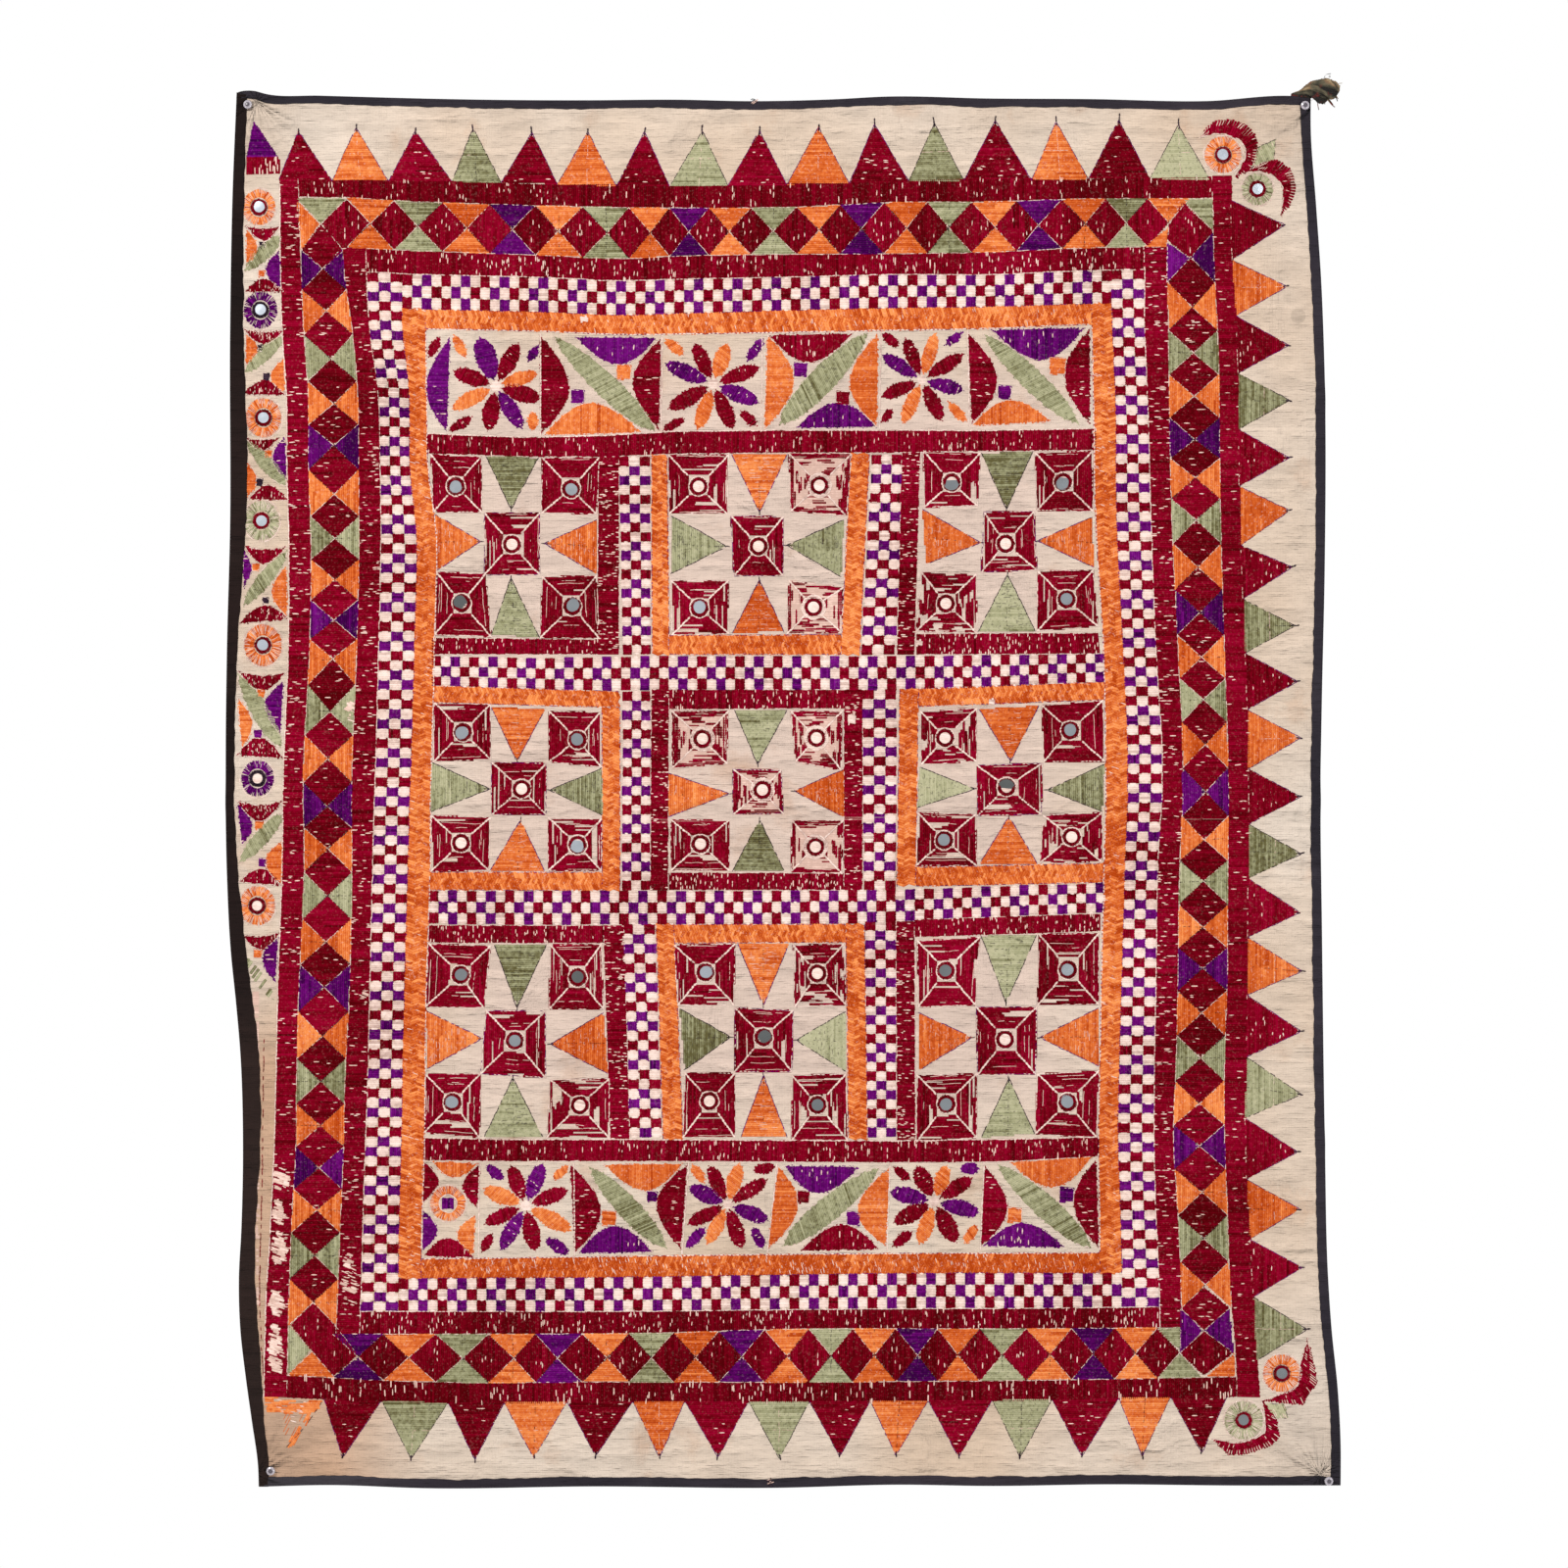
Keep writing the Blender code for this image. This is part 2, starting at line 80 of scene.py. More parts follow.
# Outer edges, binding included: the two sides as (down, across), top and bottom as (across, height)
LEFT_EDGE = (
    (-10, -613), (90, -617), (260, -619.5), (470, -619.5), (613, -623.5), (720, -625), (866, -623.5), (951, -619),
    (1009, -613), (1067, -608), (1175, -605), (1262, -607), (1319, -610), (1376, -608.5), (1426, -603), (1477, -596),
    (1528, -589), (1560, -588),
)
RIGHT_EDGE = (
    (-5, 592), (31, 592), (118, 598), (203, 603.5), (290, 606.5), (527, 606.5), (671, 603.5), (777, 602), (923, 603.5),
    (1173, 607), (1319, 611), (1376, 615), (1449, 622.5), (1506, 625.5), (1560, 625.5),
)
TOP_EDGE = (
    (-614, 10), (-605, 12), (-594, 12), (-580, 8.5), (-520, 6.5), (-396, 3), (-219, 1), (-120, 1), (-35, -1), (57, 1),
    (114, 4), (232, 2), (349, 2), (475, 0.5), (576, 6), (592, 4.5),
)
BOTTOM_EDGE = (
    (-589, -1554), (-511, -1552), (-401, -1555), (-219, -1553), (-9, -1554), (127, -1550.5), (232, -1552),
    (361, -1550.5), (505, -1552.5), (625, -1552.5),
)
# How far the left binding reaches over the front: (down, width)
LEFT_FLAP = (
    (0, 12), (260, 15), (425, 19), (555, 14), (613, 12), (866, 12.5), (923, 16), (1009, 19), (1060, 20.5), (1175, 19),
    (1262, 16), (1319, 18), (1376, 20), (1449, 16), (1500, 13), (1560, 11),
)
FLAP_RIGHT = 11.0
FLAP_TOP = 9.5
FLAP_BOTTOM = 10.5

# Soft ridges and troughs: across and down of both ends of each one's line, half width, height
FOLDS = (
    (-478, 120, -445, 330, 30, 8.0), (-452, 330, -436, 520, 26, 6.0), (-400, 402, 330, 386, 26, 5.0),
    (-600, 786, 585, 784, 15, 4.5), (-560, 752, 560, 752, 20, -2.5), (-140, 742, 90, 750, 13, 3.0),
    (-130, 822, 110, 818, 13, 2.5), (-545, 36, -470, 66, 17, 3.5), (540, 48, 505, 96, 17, 3.5),
    (-530, 1495, -480, 1455, 17, 3.5), (575, 1500, 535, 1450, 17, 4.0), (520, 322, 596, 332, 13, 3.0),
    (525, 1160, 598, 1166, 13, 2.5), (-560, 1090, -470, 1330, 32, -3.0), (430, 960, 470, 1260, 34, 4.5),
    (-120, 1400, 200, 1430, 34, 4.0),
)
# Broad waves of the whole hanging: their lengths across and down, phase and height
WAVES = ((760, 1900, 0.4, 2.6), (-1150, 820, 1.9, 2.2), (430, -1250, 3.1, 1.2))
# The pins' places across and down, and how near to one of them the cloth lies flatter: its waves, then its folds
PINS = ((-600.0, 4.0), (585.2, 5.0), (-574.2, 1535.6), (611.8, 1547.0))
PIN_REACH = 230.0
PIN_FLAT = 45.0

# The mirrors of the star squares and those of the border rosettes: their diameters and how many there are
SQUARE_MIRROR, SQUARE_COUNT = 18.0, 25
BORDER_MIRROR, BORDER_COUNT = 14.0, 9

# Smooth noise is a sum of bent waves: how many, how much longer or shorter one may be, how often it bends in its
# length and how far, and what the sum is divided by
NOISE_WAVES, NOISE_STRETCH = 6, (0.7, 1.6)
NOISE_BENDS, NOISE_BEND, NOISE_SUM = 2.1, 1.3, 4.2


# ------------------------------------------------------------------ the cloth's surface

def reading(table, at):
    """The table's second column at places in its first, on one smooth curve through its rows."""
    xs, ys = np.array(table, float).T
    at = np.asarray(at, float)
    slopes = np.gradient(ys, xs)
    i = np.clip(np.searchsorted(xs, at) - 1, 0, len(xs) - 2)
    step = xs[i + 1] - xs[i]
    t = np.clip((at - xs[i]) / step, 0.0, 1.0)
    rise_a, rise_b = slopes[i] * step, slopes[i + 1] * step
    change = ys[i + 1] - ys[i]
    return ys[i] + rise_a * t + (3 * change - 2 * rise_a - rise_b) * t**2 + (rise_a + rise_b - 2 * change) * t**3


def noise(across, down, size, seed):
    """Smooth noise from -1 to 1 over the cloth, with features about as large as size in millimetres."""
    rng = np.random.default_rng(SEED + seed)
    total = np.zeros(np.broadcast(across, down).shape)
    for _ in range(NOISE_WAVES):
        turn, phase, stretch = rng.uniform(0, math.tau), rng.uniform(0, math.tau), rng.uniform(*NOISE_STRETCH)
        along = across * math.cos(turn) + down * math.sin(turn)
        bend = np.sin((across * math.sin(turn) - down * math.cos(turn)) * NOISE_BENDS / size + phase)
        total += np.sin(along * math.tau / (size * stretch) + phase + NOISE_BEND * bend)
    return total / NOISE_SUM


def rise(across, down):
    """How far the middle of the cloth stands off its flat position at places in millimetres."""
    near = np.min([np.hypot(across - x, down - y) for x, y in PINS], axis=0)
    freedom = 1.0 - np.exp(-((near / PIN_REACH) ** 2))
    creased = 1.0 - np.exp(-((near / PIN_FLAT) ** 2))
    bulge = BULGE
    for length_across, length_down, phase, height in WAVES:
        bulge = bulge + height * np.sin(math.tau * (across / length_across + down / length_down) + phase)
    folds = 0.0
    for ax, ay, bx, by, half, height in FOLDS:
        run, fall = bx - ax, by - ay
        length = math.hypot(run, fall)
        along = ((across - ax) * run + (down - ay) * fall) / length
        aside = ((across - ax) * fall - (down - ay) * run) / length
        beyond = np.maximum(np.maximum(-along, along - length), 0.0)
        folds = folds + height * np.exp(-((aside / half) ** 2) - (beyond / (2 * half)) ** 2)
    return np.maximum(freedom * bulge + creased * folds, 0.0)


def spot(across, down, lift):
    """Points in metres on the hanging, lifted off the cloth's middle surface."""
    across, down = np.asarray(across, float), np.asarray(down, float)
    stand_off = FRONT_OF_WALL + rise(across, down) + lift
    return np.stack([across * MM, -stand_off * MM, -down * MM], axis=-1)


def place(points):
    """Layout places in steps as millimetres across and down."""
    points = np.asarray(points, float)
    return np.stack([(points[..., 0] - LAYOUT_MIDDLE) * STEP, (points[..., 1] - LAYOUT_TOP) * STEP], axis=-1)


def corner_places(*numbers):
    """Layout places, each across and then down, as points in millimetres."""
    return place(np.array(numbers, float).reshape(-1, 2))


# ------------------------------------------------------------------ threads

COLOURS = ("crimson", "orange", "green", "purple", "cream", "dark", "bare")
CRIMSON, ORANGE, GREEN, PURPLE, CREAM, DARK, BARE = range(7)
LETTERS = {"C": CRIMSON, "O": ORANGE, "G": GREEN, "P": PURPLE, "D": DARK}

# A stitch goes down into the cloth at both ends, END_WIDTH of its width there, and is full from END_RUN on. Longer
# ones have more stations between their ends
END_RUN = 0.9
END_WIDTH = 0.55
LENGTH_CLASSES = (7.0, 13.0, 21.0)
STATIONS = (1, 2, 3, 3)
DIVE = GROUND_HALF - 0.3
# How far apart the stitches of a fill are, how much wider than that each one is, how far it reaches past its edge,
# and how far one laps over the next in its row
GAP = 2.2
COVER = 1.3
REACH = 0.45
OVERLAP = 1.6
# Shorter rows than this are left out, and longer ones are parted up to this share of a part from even places
SHORTEST_ROW, PART_SHIFT = 0.8, 0.22
# The clumps that worn fills and bands are lost in: their size, their seed and how blurred they are
FILL_CLUMPS, BAND_CLUMPS = (26, 5, 0.22), (40, 6, 0.2)
# The patches that tones vary in, each with its strength, size and seed, and how much darker an odd stitch is
TONE_PATCHES, ODD_STITCH = ((0.2, 170, 1), (0.1, 34, 2)), 0.35
# Flecks: their lift and height, how far apart the rows are that they lie on, between which shares of a row their
# middles lie, and how much their ends stray
FLECK_LIFT, FLECK_HEIGHT = FILL_LIFT + 0.5, 0.2
FLECK_ROWS = 1.7
FLECK_SPAN = (0.06, 0.94)
FLECK_STRAY = 0.16
# The clumps that flecks come in: their size and seed, how blurred they are, and the noise that they start from
FLECK_CLUMPS, FLECK_BLUR, FLECK_FROM = (60, 9), 0.5, -0.25
# How far each stitch of a cord reaches past its ends, as a share of it, and how far below the cord's lift they go
CORD_OVERLAP, CORD_DIVE = 0.12, 0.35
# How unevenly the rays of a ring end, and how wide they are for their gap
RING_WOBBLE, RING_COVER = 0.6, 1.15
# A tuft's stitches: how many, how far down its half height the last one is, how square its outline is, their height
TUFT_STITCHES, TUFT_REACH, TUFT_SQUARE, TUFT_HEIGHT = 5, 0.84, 1.12, 1.05
# Painted shade across a stitch: how much lighter its colour is than its tone at its three points across, darker at its
# sides and lighter on its ridge
STITCH_PAINTED_SHADE = (-0.28, 0.28 * 0.6, -0.28)


def points_at(line, shares):
    """Points at shares of the way along a polyline."""
    line = np.asarray(line, float)
    run = np.concatenate(([0.0], np.cumsum(np.hypot(*np.diff(line, axis=0).T))))
    return np.stack([np.interp(shares * run[-1], run, line[:, k]) for k in (0, 1)], axis=-1)


def length_of(line):
    return np.hypot(*np.diff(np.asarray(line, float), axis=0).T).sum()


def resample(line, gap):
    """The polyline's points at even steps of about gap."""
    return points_at(line, np.linspace(0.0, 1.0, max(int(round(length_of(line) / gap)), 1) + 1))


def on_circle(angles):
    return np.stack([np.cos(angles), np.sin(angles)], axis=-1)


def crossings(polygon, angle, gap, rng):
    """Both ends of the parallel lines at an angle from across that fill a polygon."""
    turn = np.array([[math.cos(angle), -math.sin(angle)], [math.sin(angle), math.cos(angle)]])
    p = np.asarray(polygon, float) @ turn
    q = np.roll(p, -1, axis=0)
    rows = np.arange(p[:, 1].min() + gap * 0.4, p[:, 1].max(), gap)
    rows = (rows + rng.uniform(-0.1, 0.1, len(rows)) * gap)[:, None]
    inside = (rows >= np.minimum(p[:, 1], q[:, 1])) & (rows < np.maximum(p[:, 1], q[:, 1]))
    fall = np.where(p[:, 1] == q[:, 1], 1.0, q[:, 1] - p[:, 1])
    x = np.sort(np.where(inside, p[:, 0] + (rows - p[:, 1]) * (q[:, 0] - p[:, 0]) / fall, np.inf), axis=1)
    starts, ends = [], []
    for k in range(0, x.shape[1] - 1, 2):
        good = np.isfinite(x[:, k + 1])
        starts.append(np.stack([x[good, k], rows[good, 0]], axis=-1))
        ends.append(np.stack([x[good, k + 1], rows[good, 0]], axis=-1))
    if not starts:
        return np.zeros((0, 2)), np.zeros((0, 2))
    return np.concatenate(starts) @ turn.T, np.concatenate(ends) @ turn.T


def unit(v):
    return v / np.maximum(np.linalg.norm(v, axis=-1, keepdims=True), 1e-9)


class Work:
    """The stitches of one embroidered part, kept as arrays until they become one mesh."""

    def __init__(self, seed):
        self.rng = np.random.default_rng(SEED + seed)
        self.batches = []

    def stitch(self, a, b, colour, width=1.9, lift=FILL_LIFT, height=THREAD_RISE, shade=0.0, dive=DIVE, vary=0.13):
        """Adds straight stitches from the points a to the points b, in millimetres."""
        a, b = np.atleast_2d(a).astype(float), np.atleast_2d(b).astype(float)
        n = len(a)
        if n == 0:
            return
        middle = (a + b) / 2
        tone = 0.5
        for strength, size, seed in TONE_PATCHES:
            tone = tone + strength * noise(*middle.T, size, seed)
        tone = tone + self.rng.normal(0, vary, n) - ODD_STITCH * (self.rng.uniform(0, 1, n) < vary / 2)
        tone = np.clip(tone + shade, 0, 1)
        colour = np.broadcast_to(np.asarray(colour, int), (n,))
        width = np.broadcast_to(np.asarray(width, float), (n,)) * self.rng.uniform(0.9, 1.12, n)
        lift = lift + self.rng.uniform(-0.07, 0.07, n)
        self.batches.append((a, b, colour, width, lift, height, tone, dive))

    def fill(self, polygon, angle, colour, gap=GAP, longest=36.0, ragged=0.45, worn=0.0, **look):
        """Fills a polygon with parallel stitches. worn is the share of them that is lost."""
        a, b = crossings(polygon, angle, gap, self.rng)
        length = np.hypot(*(b - a).T)
        kept = length > SHORTEST_ROW
        a, b, length = a[kept], b[kept], length[kept]
        if len(a) == 0:
            return
        along = unit(b - a)
        a = a + along * (self.rng.uniform(-ragged, ragged, (len(a), 1)) - REACH)
        b = b + along * (self.rng.uniform(-ragged, ragged, (len(a), 1)) + REACH)
        parts = np.maximum(np.ceil(length / longest).astype(int), 1)
        index = np.repeat(np.arange(len(a)), parts)
        k = np.arange(len(index)) - np.repeat(np.cumsum(parts) - parts, parts)
        share = 1.0 / parts[index]
        shift = np.where(parts > 1, self.rng.uniform(-PART_SHIFT, PART_SHIFT, len(a)) / parts, 0.0)[index]
        low = np.where(k == 0, 0.0, k * share + shift)
        high = np.where(k == parts[index] - 1, 1.0, (k + 1) * share + shift)
        overlap = np.stack([k > 0, k < parts[index] - 1]) * OVERLAP
        start = a[index] + (b - a)[index] * low[:, None] - along[index] * overlap[0][:, None]
        end = a[index] + (b - a)[index] * high[:, None] + along[index] * overlap[1][:, None]
        if worn > 0:
            start, end = self.left_over(start, end, worn, *FILL_CLUMPS)
        self.stitch(start, end, colour, **{"vary": 0.12, "width": gap * COVER, **look})

    def left_over(self, start, end, worn, size, seed, spread):
        """The stitches that are left of a worn part, in clumps of about a size."""
        middle = (start + end) / 2
        keep = noise(*middle.T, size, seed) * 0.5 + 0.5 + self.rng.normal(0, spread, len(middle)) > worn
        return start[keep], end[keep]

    def between(self, line_a, line_b, colour, gap=GAP, slant=0.0, low=0.0, high=1.0, ragged=0.4, worn=0.0, **look):
        """Stitches from one line across to another, from the share low of the way to high."""
        count = int(max(length_of(line_a) / gap, 2))
        a, b = (points_at(line, (np.arange(count) + 0.5) / count) for line in (line_a, line_b))
        lean = unit(np.gradient(a, axis=0)) * slant / 2
        start, end = a + (b - a) * low - lean, a + (b - a) * high + lean
        direction = unit(end - start)
        start = start + direction * (self.rng.uniform(-ragged, ragged, (count, 1)) - REACH)
        end = end + direction * (self.rng.uniform(-ragged, ragged, (count, 1)) + REACH)
        if worn > 0:
            start, end = self.left_over(start, end, worn, *BAND_CLUMPS)
        self.stitch(start, end, colour, **{"width": gap * COVER, **look})

    def flecks(self, polygon, angle, density, colour=BARE, length=(3.2, 6.9), width=1.25, near_edge=False):
        """Short bare dashes over the fill, density of them for each square centimetre."""
        a, b = crossings(polygon, angle, FLECK_ROWS, self.rng)
        span = np.hypot(*(b - a).T)
        count = self.rng.poisson(span.sum() * FLECK_ROWS / 100.0 * density)
        if count == 0 or len(a) == 0:
            return
        pick = self.rng.choice(len(a), count, p=span / span.sum())
        share = self.rng.beta(0.7, 0.7, count) if near_edge else self.rng.uniform(0.08, 0.92, count)
        middle = a[pick] + (b - a)[pick] * np.clip(share, *FLECK_SPAN)[:, None]
        clumps = noise(*middle.T, *FLECK_CLUMPS) + self.rng.normal(0, FLECK_BLUR, count) > FLECK_FROM
        middle, pick = middle[clumps], pick[clumps]
        half = unit(b - a)[pick] * self.rng.uniform(*length, (len(middle), 1)) / 2
        half = half + self.rng.normal(0, FLECK_STRAY, half.shape)
        self.stitch(middle - half, middle + half, colour, width=width, lift=FLECK_LIFT, height=FLECK_HEIGHT,
                    dive=FLECK_LIFT - 0.1)

    def cord(self, points, colour=CREAM, width=2.0, lift=1.2, step=4.6, height=0.5, wander=0.25, gaps=0.0, **look):
        """A couched line along the points, sewn as short stitches end to end."""
        line = resample(points, step)
        line = line + self.rng.normal(0, wander, line.shape)
        a, b = line[:-1], line[1:]
        over = (b - a) * CORD_OVERLAP
        keep = self.rng.uniform(0, 1, len(a)) >= gaps
        self.stitch((a - over)[keep], (b + over)[keep], colour, width=width, lift=lift, height=height,
                    dive=lift - CORD_DIVE, **look)

    def outline(self, polygon, colour=CREAM, **look):
        """A cord all round a polygon."""
        self.cord(np.concatenate([polygon, polygon[:1]]), colour, **look)

    def ring(self, middle, inner, outer, colour, gap=1.6, worn=0.0, tall=1.0, **look):
        """Stitches that run outwards round a middle."""
        count = max(int(math.tau * outer / gap), 6)
        angles = (np.arange(count) + 0.5) / count * math.tau
        if worn > 0:
            angles = angles[self.rng.uniform(0, 1, count) >= worn]
        rays = on_circle(angles) * (1.0, tall)
        wobble = self.rng.uniform(-RING_WOBBLE, RING_WOBBLE, (len(angles), 1))
        look.setdefault("width", gap * RING_COVER)
        self.stitch(middle + rays * inner, middle + rays * (outer + wobble), colour, **look)

    def tuft(self, middle, half_across, half_down):
        """A raised round cream cell."""
        rows = np.linspace(-TUFT_REACH, TUFT_REACH, TUFT_STITCHES)
        reach = np.minimum(np.sqrt(TUFT_SQUARE - rows**2 * TUFT_SQUARE), 1.0)
        a, b = (middle + np.stack([side * half_across * reach, half_down * rows], axis=-1) for side in (-1, 1))
        self.stitch(a, b, CREAM, width=half_down * 0.5, height=TUFT_HEIGHT, shade=0.1)

    def build(self, name):
        """Turns the stitches into one mesh object, with a tone for each and its own flat map."""
        verts, faces, slots, tones, first = [], [], [], [], 0
        for a, b, colour, width, lift, height, tone, dive in self.batches:
            kind = np.digitize(np.hypot(*(b - a).T), LENGTH_CLASSES)
            for k, stations in enumerate(STATIONS):
                pick = kind == k
                if not pick.any():
                    continue
                points = stitch_points(a[pick], b[pick], width[pick], lift[pick], height, dive, stations)
                starts = first + np.arange(len(points)) * points[0, ..., 0].size
                quads = strip_faces(stations + 2)
                verts.append(points.reshape(-1, 3))
                faces.append((starts[:, None, None] + quads).reshape(-1, 4))
                slots.append(np.repeat(colour[pick], len(quads)))
                # Painted shade: each stitch darker at its sides and lighter on its ridge than its tone
                tones.append((tone[pick][:, None, None] + np.broadcast_to(STITCH_PAINTED_SHADE, points.shape[1:3])).ravel())
                first += len(verts[-1])
        verts = np.concatenate(verts)
        mesh = array_mesh(name, verts, np.concatenate(faces))
        mesh.polygons.foreach_set("material_index", np.concatenate(slots).astype(np.int32))
        add_tone(mesh, np.concatenate(tones))
        flat_map(mesh, verts[:, (0, 2)])
        return add_piece(name, mesh, [thread_material(c) for c in COLOURS])


def stitch_points(a, b, width, lift, height, dive, stations):
    """The points of domed strips from a to b: three across, at both ends and at each station between them."""
    run = b - a
    end = np.minimum(END_RUN / np.maximum(np.hypot(*run.T), 0.1), 0.3)[:, None]
    inner = np.linspace(0, 1, stations) if stations > 1 else np.array([0.5])
    t = np.hstack([0 * end, end + (1 - 2 * end) * inner, 0 * end + 1])
    high = np.array([0.0] + [1.0] * stations + [0.0])
    line = a[:, None] + run[:, None] * t[..., None]
    aside = unit(np.stack([-run[:, 1], run[:, 0]], axis=-1))[:, None]
    aside = aside * (width[:, None] * (END_WIDTH + (1 - END_WIDTH) * high) / 2)[..., None]
    base = dive + (lift[:, None] - dive) * high
    # Where the cloth bows up between two stations, both stand higher by as much
    flat, between = rise(line[..., 0], line[..., 1]), (line[:, 1:] + line[:, :-1]) / 2
    ridge = np.maximum(rise(between[..., 0], between[..., 1]) - (flat[:, 1:] + flat[:, :-1]) / 2, 0)
    base = base + np.maximum(np.pad(ridge, ((0, 0), (0, 1))), np.pad(ridge, ((0, 0), (1, 0))))
    rows = (line - aside, base), (line, base + height * high), (line + aside, base)
    return np.stack([spot(at[..., 0], at[..., 1], lifted) for at, lifted in rows], axis=2)


def strip_faces(stations):
    """Quads along a strip that is three points wide."""
    s, half = np.meshgrid(np.arange(stations - 1), np.arange(2), indexing="ij")
    corner = (s * 3 + half).ravel()
    return np.stack([corner, corner + 1, corner + 4, corner + 3], axis=-1)


def flat_map(mesh, uv):
    """Gives the mesh its own map for baking, from a place on it for each vertex."""
    corners = np.zeros(len(mesh.loops), np.int32)
    mesh.loops.foreach_get("vertex_index", corners)
    low, high = uv.min(0), uv.max(0)
    uv = 0.002 + 0.996 * (uv - low) / np.maximum(high - low, 1e-9)
    layer = mesh.uv_layers.new(name="OFBake")
    layer.data.foreach_set("uv", uv[corners].astype(np.float32).ravel())


def array_mesh(name, verts, faces, smooth=True):
    mesh = bpy.data.meshes.new(name)
    mesh.vertices.add(len(verts))
    mesh.vertices.foreach_set("co", np.asarray(verts, np.float32).ravel())
    sides = faces.shape[1]
    mesh.loops.add(faces.size)
    mesh.loops.foreach_set("vertex_index", faces.astype(np.int32).ravel())
    mesh.polygons.add(len(faces))
    mesh.polygons.foreach_set("loop_start", np.arange(len(faces), dtype=np.int32) * sides)
    mesh.update(calc_edges=True)
    mesh.polygons.foreach_set("use_smooth", np.full(len(faces), smooth))
    return mesh


def add_tone(mesh, tones):
    layer = mesh.attributes.new("tone", "FLOAT", "POINT")
    layer.data.foreach_set("value", np.asarray(tones, np.float32))


def add_object(name, data):
    obj = bpy.data.objects.new(name, data)
    bpy.context.scene.collection.objects.link(obj)
    return obj


def add_piece(name, mesh, materials, replaced=()):
    """Links a finished mesh as a piece of the hanging that rides on its body."""
    obj = add_object(name, mesh)
    for material in materials:
        mesh.materials.append(material)
    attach(obj, "root")
    if replaced:
        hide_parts(*replaced)
    return obj


# ------------------------------------------------------------------ materials

def linear(red, green, blue):
    """An 8-bit screen colour as the linear colour that shaders take."""
    return tuple((c / 255 / 12.92) if c <= 10 else ((c / 255 + 0.055) / 1.055) ** 2.4 for c in (red, green, blue))


def opaque(*colour):
    """An 8-bit screen colour as a socket's value."""
    return (*linear(*colour), 1)


def settings():
    return bpy.context.scene.hanging


class Nodes:
    """Short ways to fill a node tree. A socket given as a value is linked to, and anything else is set."""

    def __init__(self, tree):
        self.tree = tree

    def give(self, socket, value):
        if isinstance(value, bpy.types.NodeSocket):
            self.tree.links.new(value, socket)
        else:
            socket.default_value = value

    def add(self, kind, *inputs, **values):
        """A new node: its first inputs in order, then its settings and other inputs by name."""
        node = self.tree.nodes.new(f"ShaderNode{kind}")
        known = node.bl_rna.properties
        for key in (key for key in values if key in known):
            setattr(node, key, values[key])
        for key in (key for key in values if key not in known):
            self.give(node.inputs[key.replace("_", " ")], values[key])
        for socket, value in zip(node.inputs, inputs):
            self.give(socket, value)
        return node

    def where(self):
        return self.add("TexCoord").outputs["Object"]

    def tone(self):
        """The stitch's or piece's own tone."""
        return self.add("Attribute", attribute_name="tone").outputs["Fac"]

    def math(self, operation, *inputs, **values):
        return self.add("Math", *inputs, operation=operation, **values).outputs[0]

    def vector(self, operation, *inputs):
        """A vector, or the number that the operation comes to."""
        outputs = self.add("VectorMath", *inputs, operation=operation).outputs
        return outputs["Value" if operation in ("DISTANCE", "LENGTH") else "Vector"]

    def spread(self, value, low=0.0, high=1.0, to_low=0.0, to_high=1.0):
        """The value's place from low to high, clamped, as a place from to_low to to_high."""
        return self.add("MapRange", value, low, high, to_low, to_high).outputs[0]

    def noise(self, at, scale, detail, **values):
        return self.add("TexNoise", at, Scale=scale, Detail=detail, **values).outputs["Fac"]

    def mix(self, share, first, second):
        node = self.add("Mix", share, data_type="RGBA")
        self.give(node.inputs[6], first)
        self.give(node.inputs[7], second)
        return node.outputs[2]

    def bump(self, strength, distance, height):
        return self.add("Bump", Strength=strength, Distance=distance, Height=height)

    def ramp(self, share, *stops):
        """A colour between the stops, each a position and an 8-bit screen colour."""
        node = self.add("ValToRGB", share)
        elements = node.color_ramp.elements
        for element, (position, colour) in zip(elements, (stops[0], stops[-1])):
            element.position, element.color = position, opaque(*colour)
        for position, colour in stops[1:-1]:
            elements.new(position).color = opaque(*colour)
        return node.outputs["Color"]


def look_group(name, colours, numbers, fill):
    """The node group of a look, made once: fill takes its nodes and inputs, and gives its colour and normal."""
    if name in bpy.data.node_groups:
        return bpy.data.node_groups[name]
    group = bpy.data.node_groups.new(name, "ShaderNodeTree")
    for way, labels, kind in (("INPUT", colours, "Color"), ("INPUT", numbers, "Float"), ("OUTPUT", ["Color"], "Color"),
                              ("OUTPUT", ["Normal"], "Vector")):
        for label in labels:
            group.interface.new_socket(label, in_out=way, socket_type=f"NodeSocket{kind}")
    given, out = group.nodes.new("NodeGroupInput").outputs, group.nodes.new("NodeGroupOutput").inputs
    colour, normal = fill(Nodes(group), given)
    group.links.new(colour, out["Color"])
    group.links.new(normal, out["Normal"])
    return group


def silk(n, given):
    """Silk thread: a colour between three by the stitch's tone, with fine noise and a soft bump."""
    where = n.where()
    grain = n.noise(where, 700.0, 2.0)
    tone = n.math("MULTIPLY_ADD", grain, 0.44, n.tone())
    tone = n.math("MULTIPLY_ADD", n.noise(where, 230.0, 1.5), 0.9, tone)
    tone = n.math("SUBTRACT", tone, 0.22 + 0.45, use_clamp=True)
    colour = n.mix(n.spread(tone, 0.0, 0.5), given["Dark"], given["Middle"])
    colour = n.mix(n.spread(tone, 0.5, 1.0), colour, given["Light"])
    # Specks over the thread: pale ones of bare cloth and painted glint, dark ones of shadow on green and cream
    specks = n.math("MULTIPLY", n.spread(n.noise(where, 430.0, 1.0), 0.6, 0.7), given["Specks"])
    return n.mix(specks, colour, given["Speck"]), n.bump(0.35, 0.0004, grain).outputs[0]


